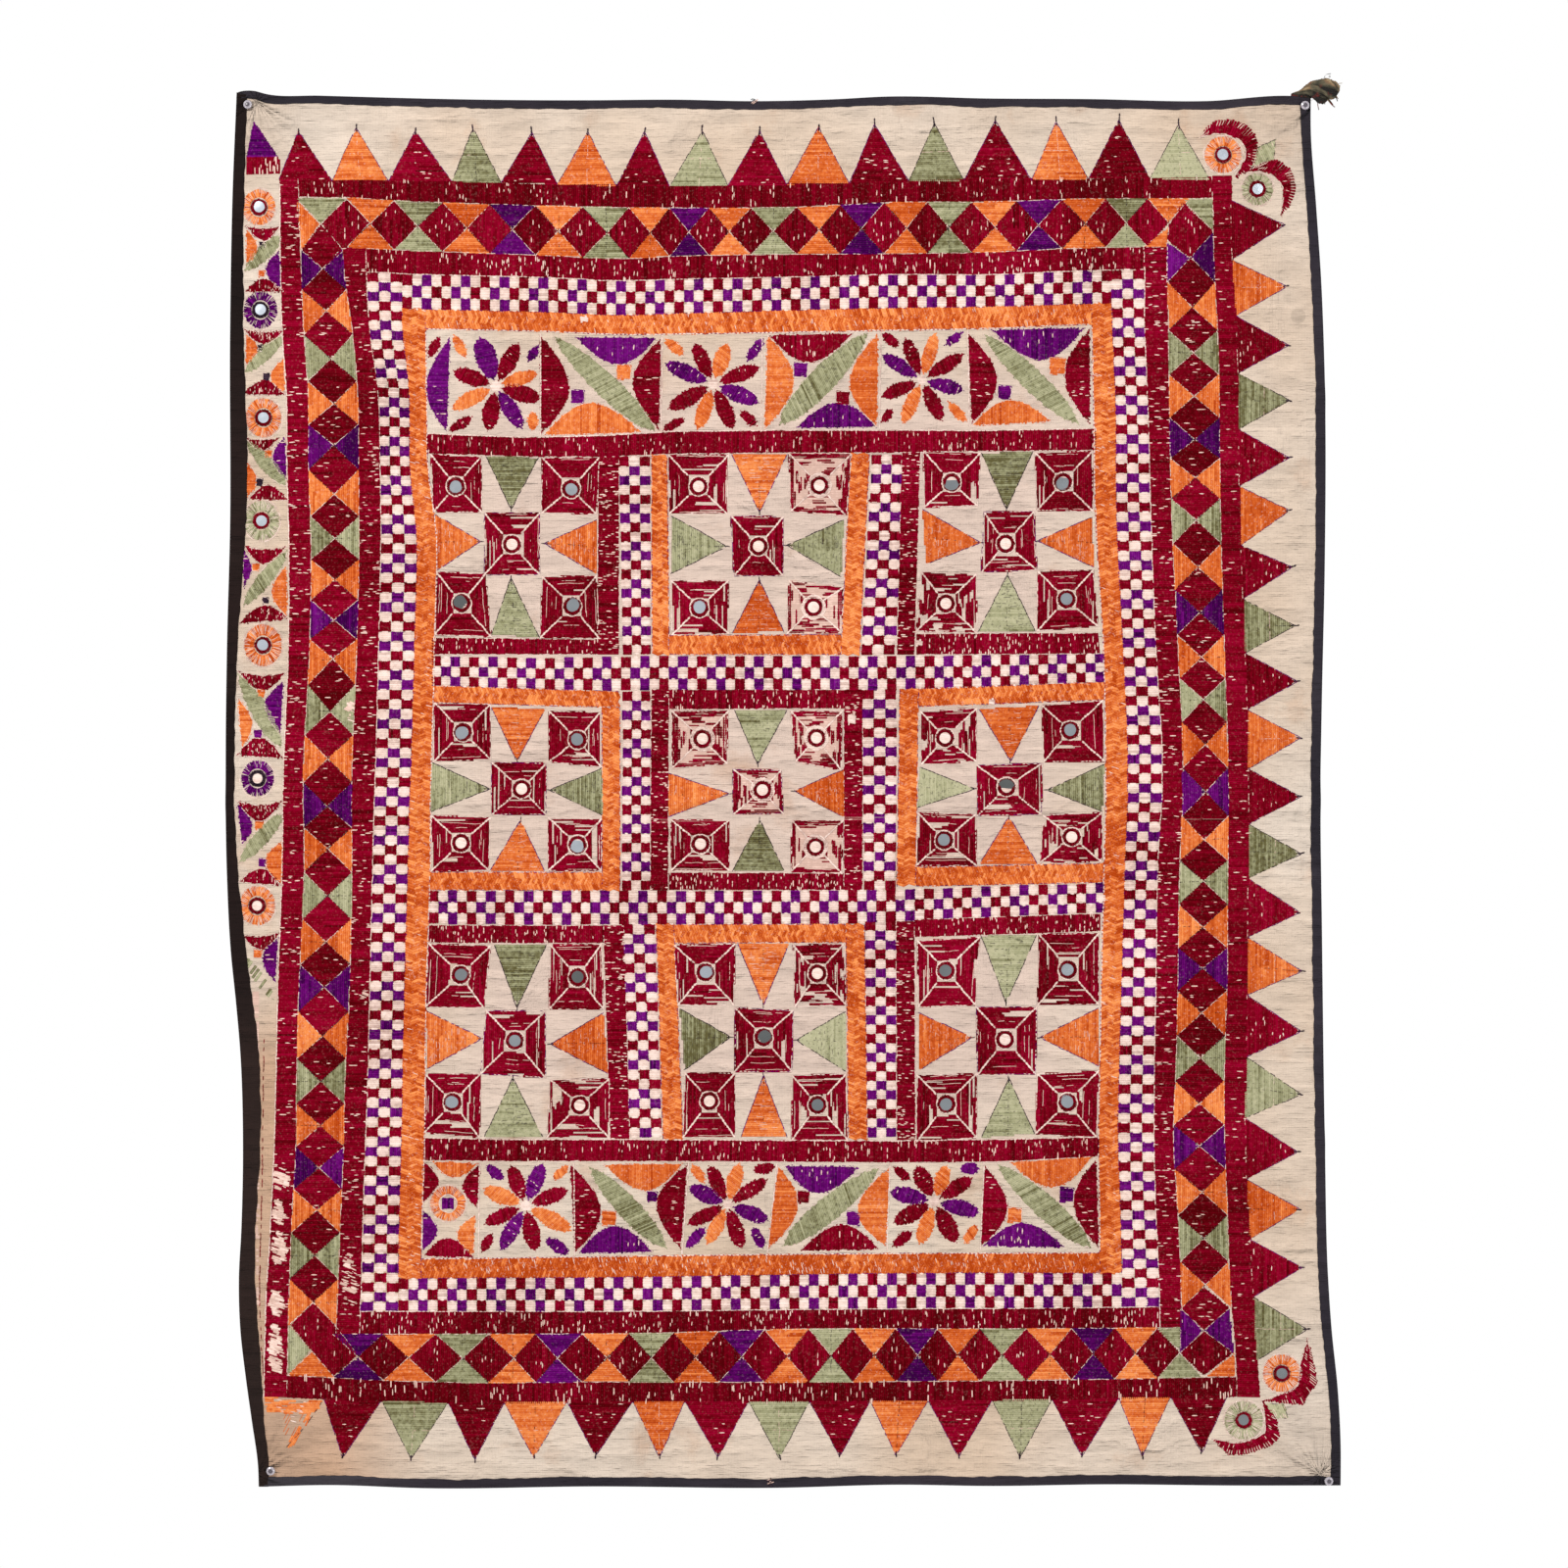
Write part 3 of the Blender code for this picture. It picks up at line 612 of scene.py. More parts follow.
def new_material(name, **constants):
    """A material with its one shader, whose inputs have these values, and its nodes."""
    material = bpy.data.materials.new(name)
    material.use_nodes = True
    n = Nodes(material.node_tree)
    n.tree.nodes.clear()
    shader = n.add("BsdfPrincipled", **constants)
    n.surface = n.add("OutputMaterial", shader.outputs["BSDF"]).inputs["Surface"]
    return material, shader, n


def grouped(name, group, sockets, roughness, specular):
    """A material whose colour and normal come from a node group with these inputs."""
    if name in bpy.data.materials:
        return bpy.data.materials[name]
    material, shader, n = new_material(name, Roughness=roughness, Specular_IOR_Level=specular)
    look = n.add("Group", node_tree=group, **sockets)
    n.give(shader.inputs["Base Color"], look.outputs["Color"])
    n.give(shader.inputs["Normal"], look.outputs["Normal"])
    return material


# Each thread's darkest and lightest colours on the screen, and how strong its specks are: pale ones of bare cloth and
# painted glint, dark ones of shadow
THREAD_LOOKS = {
    "crimson": ((76, 0, 4), (150, 3, 44), 0.05), "orange": ((172, 62, 12), (240, 148, 84), 0.26),
    "green": ((92, 86, 52), (186, 182, 148), 0.5), "purple": ((52, 0, 60), (122, 20, 128), 0.06),
    "cream": ((190, 160, 150), (250, 228, 218), 0.1), "dark": ((28, 18, 26), (70, 50, 66), 0.0),
    "bare": ((204, 170, 156), (246, 226, 214), 0.0),
}


def thread_material(colour):
    middle = getattr(settings(), f"{colour}_thread")
    dark, light, specks = THREAD_LOOKS[colour]
    speck = settings().dark_thread if colour in ("green", "cream") else settings().bare_thread
    group = look_group("SilkThread", ("Dark", "Middle", "Light", "Speck"), ("Specks",), silk)
    return grouped(f"{colour}_thread", group, {
        "Dark": opaque(*dark), "Middle": (*middle, 1), "Light": opaque(*light), "Speck": (*speck, 1), "Specks": specks
    }, 0.8, 0.02)


# The part of the cloth inside the orange band, kept whiter, the dirtier part at the lower left, and a round
# stain near the right edge, in metres
MIDDLE_AT, MIDDLE_HALF = (-0.022, 0.0, -0.717), (0.39, 1.0, 0.462)
DIRTY_AT, DIRTY_HALF = (-0.62, 0.0, -1.4), (0.22, 1.0, 0.42)
SOFT_EDGE = 0.1
STAIN_AT, STAIN_RADIUS = (0.5775, 0.0, -0.241), 0.0088
# The middle between the pins, the way out to each of them, and how far creases run from them, in metres
PINS_MIDDLE, PINS_OUT, CREASE_REACH = (0.006, 0.0, -0.77), (0.596, 0.0, 0.77), 0.14
ONTO_WALL = (1.0, 0.0, 1.0)
# The uneven threads of both ways: the wave's direction, scale and distortion
WEAVE = (("X", 190.0, 1.4), ("Z", 160.0, 2.2))


def inward(n, where, middle, half):
    """How far a place is inside a box round a middle, along each axis."""
    return n.vector("SUBTRACT", half, n.vector("ABSOLUTE", n.vector("SUBTRACT", where, middle)))


def within(n, where, middle, half):
    """1 well inside a box round a middle, and 0 outside it."""
    sides = n.add("SeparateXYZ", inward(n, where, middle, half)).outputs
    return n.spread(n.math("MINIMUM", sides["X"], sides["Z"]), 0.0, SOFT_EDGE)


def pin_creases(n, where):
    """Soft creases that fan out from the pin at each corner, from 0 to 1."""
    way = inward(n, where, PINS_MIDDLE, PINS_OUT)
    sides, length = n.add("SeparateXYZ", way).outputs, n.vector("LENGTH", way)
    fan = n.add("CombineXYZ", n.math("ARCTAN2", sides["Z"], sides["X"]), length).outputs[0]
    near = n.spread(length, 0.02, CREASE_REACH, 1.0, 0.0)
    return n.math("MULTIPLY", n.noise(fan, 2.7, 0.6, Distortion=0.5), near)


def plain_cotton(n, given):
    """Plain woven cotton: a weave, uneven threads, crumples, broad fading and small stains."""
    where = n.where()
    crumple = n.noise(n.add("Mapping", where, Scale=(0.36, 1.0, 1.7)).outputs[0], 60.0, 3.0)
    colour = n.mix(n.spread(n.noise(where, 3.2, 3.0), 0.35, 0.68), given["Base"], given["Faded"])
    colour = n.mix(within(n, where, MIDDLE_AT, MIDDLE_HALF), colour, given["Middle"])
    blot = n.spread(n.noise(where, 11.0, 6.0, Roughness=0.62), 0.58, 0.76, 0.0, 0.5)
    dirt = n.math("MAXIMUM", blot, n.math("MULTIPLY", within(n, where, DIRTY_AT, DIRTY_HALF), 0.6))
    colour = n.mix(dirt, colour, given["Stain"])
    weave = n.math("ADD", *(
        n.add("TexWave", where, bands_direction=way, Scale=scale, Distortion=distortion, Detail=1.0).outputs["Fac"]
        for way, scale, distortion in WEAVE))
    # Painted shade of fine horizontal wrinkles, added to the weave's uneven threads
    lines = n.noise(n.add("Mapping", where, Scale=(9.0, 1.0, 150.0)).outputs[0], 1.0, 3.0)
    shade = n.spread(n.math("MULTIPLY_ADD", lines, 4.5, weave), 1.2, 5.2, 0.81, 1.08)
    creases = pin_creases(n, where)
    stain = n.vector("DISTANCE", n.vector("MULTIPLY", where, ONTO_WALL), STAIN_AT)
    # Painted shade over the crumples and in the pin creases, and the round stain's darker rim
    for share in (n.spread(crumple, 0.28, 0.72, 0.9, 1.12), n.spread(creases, 0.1, 0.42, 1.0, 0.88),
                  n.spread(stain, STAIN_RADIUS * 0.9, STAIN_RADIUS, 0.84)):
        shade = n.math("MULTIPLY", shade, share)
    bumps = [n.bump(0.8, 0.016, creases), n.bump(0.8, 0.02, n.noise(where, 9.0, 4.0, Distortion=1.2)),
             n.bump(0.9, 0.009, crumple), n.bump(0.45, 0.0005, weave)]
    for under, over in zip(bumps, bumps[1:]):
        n.give(over.inputs["Normal"], under.outputs[0])
    return n.add("VectorMath", colour, operation="SCALE", Scale=shade).outputs[0], bumps[-1].outputs[0]


def cotton_material(name, base, faded, stain, middle=(0, 0, 0, 1)):
    sockets = {"Base": (*base, 1), "Faded": faded, "Stain": stain, "Middle": middle}
    return grouped(name, look_group("PlainCotton", tuple(sockets), (), plain_cotton), sockets, 0.9, 0.2)


def mirror_material():
    material, shader, n = new_material("mirror_glass", Metallic=0.85)
    # Painted reflection: the tone gives the glass a colour from dark grey to pale
    n.give(shader.inputs["Base Color"], n.ramp(n.tone(), (0.0, (112, 116, 116)), (1.0, (226, 236, 248))))
    n.give(shader.inputs["Roughness"], n.spread(n.noise(n.where(), 70.0, 3.0), 0.0, 1.0, 0.1, 0.34))
    return material


# A pin head's colours by the share of its radius: painted shade in the dip round a painted highlight in its middle,
# then the pale rim
PIN_RADIUS, PIN_BACK = 0.005, -0.0049
PIN_SHADE_RINGS = (
    (0.0, (150, 144, 152)), (0.2, (104, 98, 108)), (0.42, (112, 104, 114)), (0.58, (214, 206, 216)),
    (1.0, (232, 226, 234)),
)


def pin_material(name, across, down):
    """Clear plastic in front of the cloth with a dark dip in its middle, steel behind it."""
    material, shader, n = new_material(f"plastic_{name}", Roughness=0.12, Transmission_Weight=0.45, IOR=1.49)
    where = n.where()
    far = n.vector("DISTANCE", n.vector("MULTIPLY", where, ONTO_WALL), (across, 0.0, down))
    n.give(shader.inputs["Base Color"], n.ramp(n.spread(far, 0.0, PIN_RADIUS), *PIN_SHADE_RINGS))
    steel = n.add("BsdfPrincipled", Metallic=1.0, Roughness=0.25, Base_Color=opaque(188, 188, 192))
    behind = n.math("GREATER_THAN", n.add("SeparateXYZ", where).outputs["Y"], PIN_BACK)
    n.give(n.surface, n.add("MixShader", behind, shader.outputs["BSDF"], steel.outputs["BSDF"]).outputs[0])
    return material


# ------------------------------------------------------------------ cloth and bindings

GROUND_COLUMNS = 153
GROUND_ROWS = 209
# More of the rows lie in this share of the way down, over the crease across the middle
CREASE_ROWS, CREASE_SHARE = 24, (0.481, 0.511)
# How far beside the front's map the back's lies
BACK_MAP = 1.3


def grid_faces(columns, rows, first=0, flip=False):
    """Quads over a grid whose points run down each column in turn."""
    i, j = np.meshgrid(np.arange(columns - 1), np.arange(rows - 1), indexing="ij")
    corner = first + (i * rows + j).ravel()
    quads = np.stack([corner, corner + 1, corner + rows + 1, corner + rows], axis=-1)
    return quads[:, ::-1] if flip else quads


def tube_faces(rings, sides):
    """Quads round a tube of rings, each of as many points."""
    i, j = np.meshgrid(np.arange(rings - 1), np.arange(sides), indexing="ij")
    corner, after = (i * sides + j).ravel(), (i * sides + (j + 1) % sides).ravel()
    return np.stack([corner, after, after + sides, corner + sides], axis=-1)


def build_ground():
    """The cream cotton sheet: a front and a back face joined round the edges."""
    u = np.linspace(0, 1, GROUND_COLUMNS)
    v = np.sort(np.concatenate([np.linspace(0, 1, GROUND_ROWS - CREASE_ROWS), np.linspace(*CREASE_SHARE, CREASE_ROWS)]))
    down = v[None, :] * LENGTH
    left = reading(LEFT_EDGE, down) + INSET
    right = reading(RIGHT_EDGE, down) - INSET
    across = left + (right - left) * u[:, None]
    top = reading(TOP_EDGE, across) - INSET
    bottom = reading(BOTTOM_EDGE, across) + INSET
    depth = -(top + (bottom - top) * v[None, :])
    front, back = spot(across, depth, GROUND_HALF), spot(across, depth, -GROUND_HALF)[::2, ::2]
    count = front[..., 0].size
    verts = np.concatenate([front.reshape(-1, 3), back.reshape(-1, 3)])
    quads = np.concatenate([grid_faces(GROUND_COLUMNS, GROUND_ROWS), grid_faces(*back.shape[:2], count, flip=True)])
    rims = []
    for points, first in ((front, 0), (back, count)):
        index = first + np.arange(points[..., 0].size).reshape(points.shape[:2])
        rims.append(np.concatenate([index[:, 0], index[-1, 1:], index[-2::-1, -1], index[0, -2:0:-1]]))
    low, middle, high = rims[0][::2], rims[0][1::2], np.roll(rims[0], -2)[::2]
    near, far = rims[1], np.roll(rims[1], -1)
    triangles = np.concatenate([
        quads[:, [0, 1, 2]], quads[:, [0, 2, 3]], np.stack([low, middle, near], axis=-1),
        np.stack([middle, high, far], axis=-1), np.stack([middle, far, near], axis=-1)])
    mesh = array_mesh("ground_cloth", verts, triangles)
    uv = verts[:, (0, 2)].copy()
    uv[count:, 0] += BACK_MAP
    flat_map(mesh, uv)
    cotton = cotton_material("cream_cotton", settings().ground_colour, opaque(212, 188, 166), opaque(184, 134, 96),
                             opaque(217, 194, 180))
    return add_piece("ground_cloth", mesh, [cotton], ["cloth"])


# The folded strip's section: how far in from its outer edge, as a share of its width, and its lift
BINDING_SECTION = (
    (1.0, 0.6), (1.015, 1.05), (1.0, 1.6), (0.93, 1.95), (0.75, 2.0), (0.5, 1.9), (0.28, 1.95), (0.12, 1.75),
    (0.035, 1.2), (0.0, 0.4), (0.0, -0.4), (0.035, -1.1), (0.12, -1.55), (0.4, -1.7), (0.8, -1.75), (0.97, -1.6),
    (1.0, -1.1), (1.0, -0.6),
)
BINDING_STEP = 3.0
# The waves of a strip's sewn edge, each with its height, size and seed
BINDING_WAVES = ((0.8, 60, 0), (0.55, 13, 4))
# How much its folded edges pucker, from what share of its width on, and how far its ends are pinched
PUCKER, PUCKER_FROM, PINCH = 0.14, 0.3, 0.12
# Each strip's outer edge and which way the cloth is from it, its width or the widths down it, the first and last
# place along it, and the seed of its waves
BINDINGS = {
    "left": (LEFT_EDGE, 1.0, LEFT_FLAP, -11.5, LENGTH + 0.5, 11),
    "right": (RIGHT_EDGE, -1.0, FLAP_RIGHT, -3.0, LENGTH + 0.5, 12),
    "top": (TOP_EDGE, 1.0, FLAP_TOP, -611.0, 591.0, 13),
    "bottom": (BOTTOM_EDGE, -1.0, FLAP_BOTTOM, -584.0, 624.0, 14),
}


def build_binding(side):
    """One folded strip, wavy along its sewn edge and pinched shut at both ends."""
    outline, inward, flap, start, end, seed = BINDINGS[side]
    run = np.arange(start, end, BINDING_STEP)
    edge = reading(outline, run)
    width = reading(flap, run) if side == "left" else np.full(len(run), flap)
    if upright(side):
        top, bottom = (-reading(table, edge) for table in (TOP_EDGE, BOTTOM_EDGE))
        run = top + (run - run[0]) / (run[-1] - run[0]) * (bottom - top)
    else:
        edge = -edge
    for height, size, more in BINDING_WAVES:
        width = width + height * noise(run, edge, size, seed + more)
    share, lift = np.array(BINDING_SECTION).T
    over = edge[:, None] + inward * (share * width[:, None])
    along = np.broadcast_to(run[:, None], over.shape)
    pucker = 1.0 + PUCKER * noise(run, edge, 9, seed + 8)[:, None] * (share > PUCKER_FROM)
    lift = np.where(lift > 0, lift * pucker, lift) * (1.0 if upright(side) else 0.93)
    lift[[0, -1]] *= PINCH
    verts = spot(over, along, lift) if upright(side) else spot(along, over, lift)
    faces = grid_faces(len(run), len(share), flip=side in ("left", "bottom"))
    mesh = array_mesh(f"bound_edge_{side}", verts.reshape(-1, 3), faces)
    flat_map(mesh, np.stack([np.repeat(run, len(share)), np.tile(np.linspace(0, 1, len(share)), len(run))], axis=-1))
    look = "charcoal_binding", settings().binding_colour, opaque(54, 48, 56), opaque(70, 66, 72)
    if side == "left":
        look = "brown_binding", linear(20, 9, 8), opaque(34, 20, 18), opaque(48, 34, 30)
    return add_piece(f"bound_edge_{side}", mesh, [cotton_material(*look)], [f"binding_{side}"])


# ------------------------------------------------------------------ mirrors and pins

# A ring whose middle is no more than this many millimetres from a mirror's still has its mirror
MIRROR_NEAR = 8
MIRROR_SIDES = 22
# How far a glass is cut out of round, as an oval and at each corner, and how much it tilts
MIRROR_OVAL, MIRROR_ROUGH, MIRROR_TILT = 0.025, 0.012, 0.035
# A mirror's section: its share of the radius and its height over the cloth's middle surface
MIRROR_SECTION = ((1.0, 0.6), (1.0, 1.35), (0.95, 1.75), (0.0, 1.85))


def mirror_middles():
    """The middle of each mirror in millimetres, square ones first, as the CAD model has them."""
    names = [f"mirror_square_{n:02d}" for n in range(1, SQUARE_COUNT + 1)]
    names += [f"mirror_border_{n}" for n in range(1, BORDER_COUNT + 1)]
    boxes = {name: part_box(name) for name in names}
    return {name: ((low.x + high.x) / 2 / MM, -(low.z + high.z) / 2 / MM) for name, (low, high) in boxes.items()}


def nearest_mirror(kind, at):
    """The layout place of the mirror of a kind that lies at a layout place, or that place itself, and if it is lost."""
    mirrors = np.array([middle for name, middle in mirror_middles().items() if kind in name])
    away = np.hypot(*(mirrors - place(at)).T)
    if away.min() > MIRROR_NEAR:
        return at, True
    return mirrors[away.argmin()] / STEP + (LAYOUT_MIDDLE, LAYOUT_TOP), False


def build_mirrors():
    """Every mirror round as one hand-cut glass disc, slightly tilted."""
    rng = np.random.default_rng(SEED + 400)
    verts, faces, tones, first = [], [], [], 0
    middles = mirror_middles()
    for name, (x, y) in middles.items():
        radius = (SQUARE_MIRROR if "square" in name else BORDER_MIRROR) / 2
        angles = np.arange(MIRROR_SIDES) / MIRROR_SIDES * math.tau
        oval = MIRROR_OVAL * np.sin(2 * angles + rng.uniform(0, 6))
        cut = radius * (1 + oval + rng.uniform(-MIRROR_ROUGH, MIRROR_ROUGH, MIRROR_SIDES))
        level = -float(spot(x, y, 0.0)[1]) / MM
        tilt = rng.normal(0, MIRROR_TILT, 2)
        # Painted reflection: border mirrors pale high up and dark low down, square ones at random
        painted_reflection = (0.9 if y < LENGTH * 0.8 else 0.2) if "border" in name else rng.beta(0.8, 1.5)
        tones.append(np.full(MIRROR_SIDES * len(MIRROR_SECTION), painted_reflection))
        for share, lift in MIRROR_SECTION:
            dx, dy = cut * np.cos(angles) * share, cut * np.sin(angles) * share
            out = level + lift + tilt[0] * dx + tilt[1] * dy
            verts.append(np.stack([(x + dx) * MM, -out * MM, -(y + dy) * MM], axis=-1))
        faces.append(first + tube_faces(len(MIRROR_SECTION), MIRROR_SIDES)[:, [0, 3, 2, 1]])
        first += MIRROR_SIDES * len(MIRROR_SECTION)
    verts = np.concatenate(verts)
    mesh = array_mesh("mirror_rounds", verts, np.concatenate(faces), smooth=False)
    flat_map(mesh, verts[:, (0, 2)])
    add_tone(mesh, np.concatenate(tones))
    return add_piece("mirror_rounds", mesh, [mirror_material()], list(middles))


def build_pins():
    """The CAD push pins stay, with clear plastic and steel."""
    for name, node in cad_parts.items():
        if name.startswith("push_pin"):
            low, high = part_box(name)
            node.data.materials.clear()
            node.data.materials.append(pin_material(name, (low.x + high.x) / 2, (low.z + high.z) / 2))


# ------------------------------------------------------------------ layout of the borders, in steps

# Lines of the left side, from the outermost in: down, then how far to the right each one is
LEFT_LINES = (
    (184, 286, 304.5, 350, 374, 411, 434), (275, 287, 308, 352, 375, 411, 434), (341, 289, 311, 361, 379, 412, 435),
    (394, 293, 315, 366, 387, 418, 436), (490, 294, 316, 367, 389.5, 420.4, 439),
    (530, 295, 317.6, 367.3, 390, 424.8, 444.4), (661, 294.8, 316.3, 364.7, 387, 423.5, 444),
    (785, 289.6, 309.8, 359.4, 383.5, 419.6, 440.5), (890, 288, 310.5, 359.4, 380.4, 416.4, 439.2),
    (1021, 284, 305.3, 356.8, 377.7, 413, 435.3), (1103, 282.3, 303.2, 352.9, 376, 411.5, 434.5),
    (1170, 281, 302.7, 351.6, 373.8, 410.4, 434), (1250, 277, 298.5, 348, 371.2, 408.3, 431.3),
    (1330, 272, 295.4, 345, 368.6, 407, 430), (1381, 270.5, 294, 343, 367, 406, 429),
    (1431, 269.5, 293, 342, 366, 405, 428),
)
RIGHT_LINES = (
    (181, 1256, 1236, 1189, 1165, 1131, 1110), (290, 1259, 1239.3, 1191, 1167.4, 1133, 1112),
    (341, 1263, 1242, 1191.5, 1167.4, 1134.7, 1113.8), (400, 1264, 1243, 1192.3, 1170, 1137.3, 1115),
    (530, 1265.5, 1244.6, 1195, 1174, 1139, 1117.7), (661, 1270.7, 1248.5, 1201.4, 1179, 1145.7, 1125.6),
    (785, 1274.6, 1252.4, 1206.6, 1185.7, 1150.4, 1128), (890, 1274, 1251.9, 1202.7, 1180.5, 1147, 1126),
    (1021, 1272.5, 1250.5, 1200, 1178, 1143, 1122.5), (1074, 1272, 1248.5, 1198.8, 1177, 1141.3, 1121.7),
    (1170, 1270.7, 1248.5, 1196.2, 1176.6, 1140, 1120), (1225, 1273.3, 1251, 1200, 1178, 1142, 1121),
    (1303, 1278.6, 1253.7, 1204, 1181.8, 1144, 1122), (1381, 1282.5, 1260, 1206.6, 1184, 1146, 1124),
    (1428, 1285, 1262, 1208, 1186, 1148, 1126),
)
TOP_LINES = (
    (286, 184, 201, 250, 274, 312, 334), (308, 184.6, 201.6, 252, 276, 313, 335),
    (439, 184.6, 206.8, 257, 280.8, 316.6, 336.3), (570, 188.5, 210.7, 261.7, 284, 319.5, 339),
    (620, 188.5, 212, 264.3, 286.6, 321.9, 341.5), (704, 191, 213.4, 262, 285.5, 320.5, 341.5),
    (809, 188.5, 213, 261, 284, 318, 340), (914, 186, 208, 260.4, 281.3, 315.5, 338),
    (1010, 183, 207.3, 258.5, 281.3, 314, 336), (1101, 183.3, 204.2, 254.3, 277.4, 311.4, 332.3),
    (1231, 180.7, 203, 252, 275, 309, 330), (1259, 180, 202.5, 251.5, 274.5, 308.5, 330),
)
BOTTOM_LINES = (
    (270, 1425, 1402, 1361, 1338, 1304, 1284), (439, 1431, 1409, 1360, 1337, 1303, 1283.4),
    (640, 1430, 1409, 1359.3, 1337, 1302, 1281), (809, 1430, 1409, 1355.3, 1335.7, 1300, 1279.5),
    (1010, 1428.6, 1407.6, 1355, 1334.4, 1298, 1278), (1127, 1427, 1406.3, 1354, 1333, 1297.8, 1277),
    (1284, 1424.6, 1403.7, 1353, 1332, 1297, 1276),
)
BORDER_LINES = {"left": LEFT_LINES, "right": RIGHT_LINES, "top": TOP_LINES, "bottom": BOTTOM_LINES}
# The lines' numbers, each named for the band that it starts
OUTER_RED, DIAMONDS, INNER_RED, CHECKERS, ORANGE_BAND, PANEL = range(6)

# Where the diamonds meet along each side, and the colours of the triangle pairs there, over and over
CROSSINGS = {
    "top": ("OGOP", (379, 426.6, 477, 523, 570, 619.6, 664, 703, 744, 789, 836, 878.5, 925, 967.4, 1014.5, 1059, 1107,
        1148.6, 1192)),
    "left": ("POGO", (275, 318, 367, 413, 455, 505, 550, 592, 633, 672, 726, 774, 823, 866, 914, 961, 1007, 1057, 1103,
        1148, 1191, 1234, 1280, 1328)),
    "bottom": ("POGO", (366, 417.5, 473, 525, 569, 620, 665, 710, 757, 803, 848, 892, 936, 977, 1022, 1071, 1115, 1158,
        1203)),
    "right": ("POGO", (263, 314.5, 361, 405, 449, 488, 531, 579, 625, 671, 714, 759.5, 808, 857, 899, 946, 987.5, 1033,
        1078.5, 1125, 1168, 1215, 1262.5, 1310)),
}

# Places with no inner triangle, because a corner piece takes its room
NO_INNER = (("bottom", 18), ("top", 18), ("right", 0))
# What fills the border's corners: colour, the way its stitches run in degrees, and its corners
CORNER_PIECES = (
    ("G", 0, 303, 203, 355, 204, 328, 229), ("O", 90, 303, 205, 308, 256, 327, 229),
    ("C", 90, 328, 229, 355, 205, 379, 229, 352, 257), ("C", 0, 328, 229, 352, 257, 330, 276, 308, 256),
    ("G", 0, 1206, 204, 1237, 203, 1238, 237), ("C", 90, 1192, 231, 1206, 206, 1238, 237, 1214, 264, 1190, 246),
    ("G", 90, 295, 1352, 318, 1377, 294, 1402), ("O", 0, 294, 1403, 319, 1378, 342, 1405),
    ("C", 90, 321, 1328, 297, 1351, 318, 1377, 341, 1404, 366, 1382, 345, 1354),
    ("C", 0, 1228, 1312, 1254, 1334, 1228, 1357, 1204, 1334), ("P", 90, 1204, 1334, 1227, 1357, 1204, 1380),
    ("P", 90, 1254, 1334, 1258, 1380, 1228, 1357), ("C", 90, 1228, 1357, 1258, 1380, 1228, 1403, 1203, 1380),
    ("O", 0, 1259, 1380, 1260, 1404, 1230, 1404), ("G", 0, 1180, 1356, 1204, 1353, 1204, 1378),
    ("O", 0, 1166, 253, 1190, 253, 1192, 233), ("P", 90, 1190, 248, 1190, 289, 1214, 264),
)

# Teeth: their tips, and where their bases meet
TOP_TIPS = (
    (305, 135), (364, 131), (424, 134), (483, 131), (543, 135), (600, 135), (658, 135), (717, 135), (775, 135),
    (835, 131), (892, 128), (953, 127), (1015, 124.5), (1077, 125), (1141, 123), (1202, 128),
)
TOP_BASES = (
    (284, 181), (340, 181), (397, 181), (461.5, 181), (511.7, 182), (569, 183.5), (629, 186), (683.5, 186.5),
    (743, 186), (803, 185.5), (866.5, 184), (927, 182), (983, 181), (1052, 180.7), (1110, 179), (1173, 178),
    (1235, 180),
)
RIGHT_TIPS = (
    (1311, 230), (1313, 293), (1314.7, 353), (1314.7, 409.5), (1314.7, 468), (1314.7, 521.6), (1317.8, 579),
    (1320.4, 638.8), (1323, 695.5), (1326.2, 753), (1325.6, 813), (1327, 871), (1325.6, 931), (1327.7, 990.6),
    (1327, 1052), (1327, 1116), (1323, 1174.4), (1325.6, 1233), (1328.3, 1292.6), (1333.5, 1356),
)
RIGHT_BASES = (205, 265.7, 323, 382, 439, 496.8, 557, 611.8, 666.7, 724.3, 784.5, 841, 896, 956, 1015, 1077.7, 1140,
               1202.4, 1263.8, 1322.7, 1388)
BOTTOM_TIPS = (
    (350, 1487), (420, 1488), (485, 1489), (545, 1487), (608, 1485), (673, 1486), (733, 1486), (795, 1487), (857, 1485),
    (914, 1484), (978, 1486), (1040.6, 1486), (1103.4, 1485), (1165, 1485), (1226, 1482),
)
BOTTOM_BASES = (331, 390, 458, 515, 579, 646, 699, 764, 826, 888, 947, 1012, 1073, 1141, 1194, 1252)
# The worn tooth: its corners, the way its stitches run, how far apart, how worn and how bright they are
WORN_TOOTH = (((270, 1425, 330, 1428, 323, 1440, 306, 1443, 274, 1441), 0.0, 1.9, 0.38, 0.25),
              ((327, 1431, 297, 1478, 293, 1474, 317, 1437), 2.06, 1.8, 0.42, 0.2))


def line_at(side, line, at):
    """How far over a border line of one side is, at a place along that side."""
    table = np.array(BORDER_LINES[side], float)
    return reading(table[:, (0, line + 1)], at)


def on_line(side, line, at):
    """Layout points of a border line, at places along its side."""
    at = np.atleast_1d(np.asarray(at, float))
    over = line_at(side, line, at)
    return np.stack([over, at] if upright(side) else [at, over], axis=-1)


# A place on each side near its border lines
NEAR = {"left": 285, "right": 1250, "top": 184, "bottom": 1428}


def line_span(side, line):
    """Where a border line starts and ends along its side: at its corners."""
    ends = ("top", "bottom") if upright(side) else ("left", "right")
    return [float(line_at(end, line, line_at(side, line, line_at(end, line, NEAR[side])))) for end in ends]


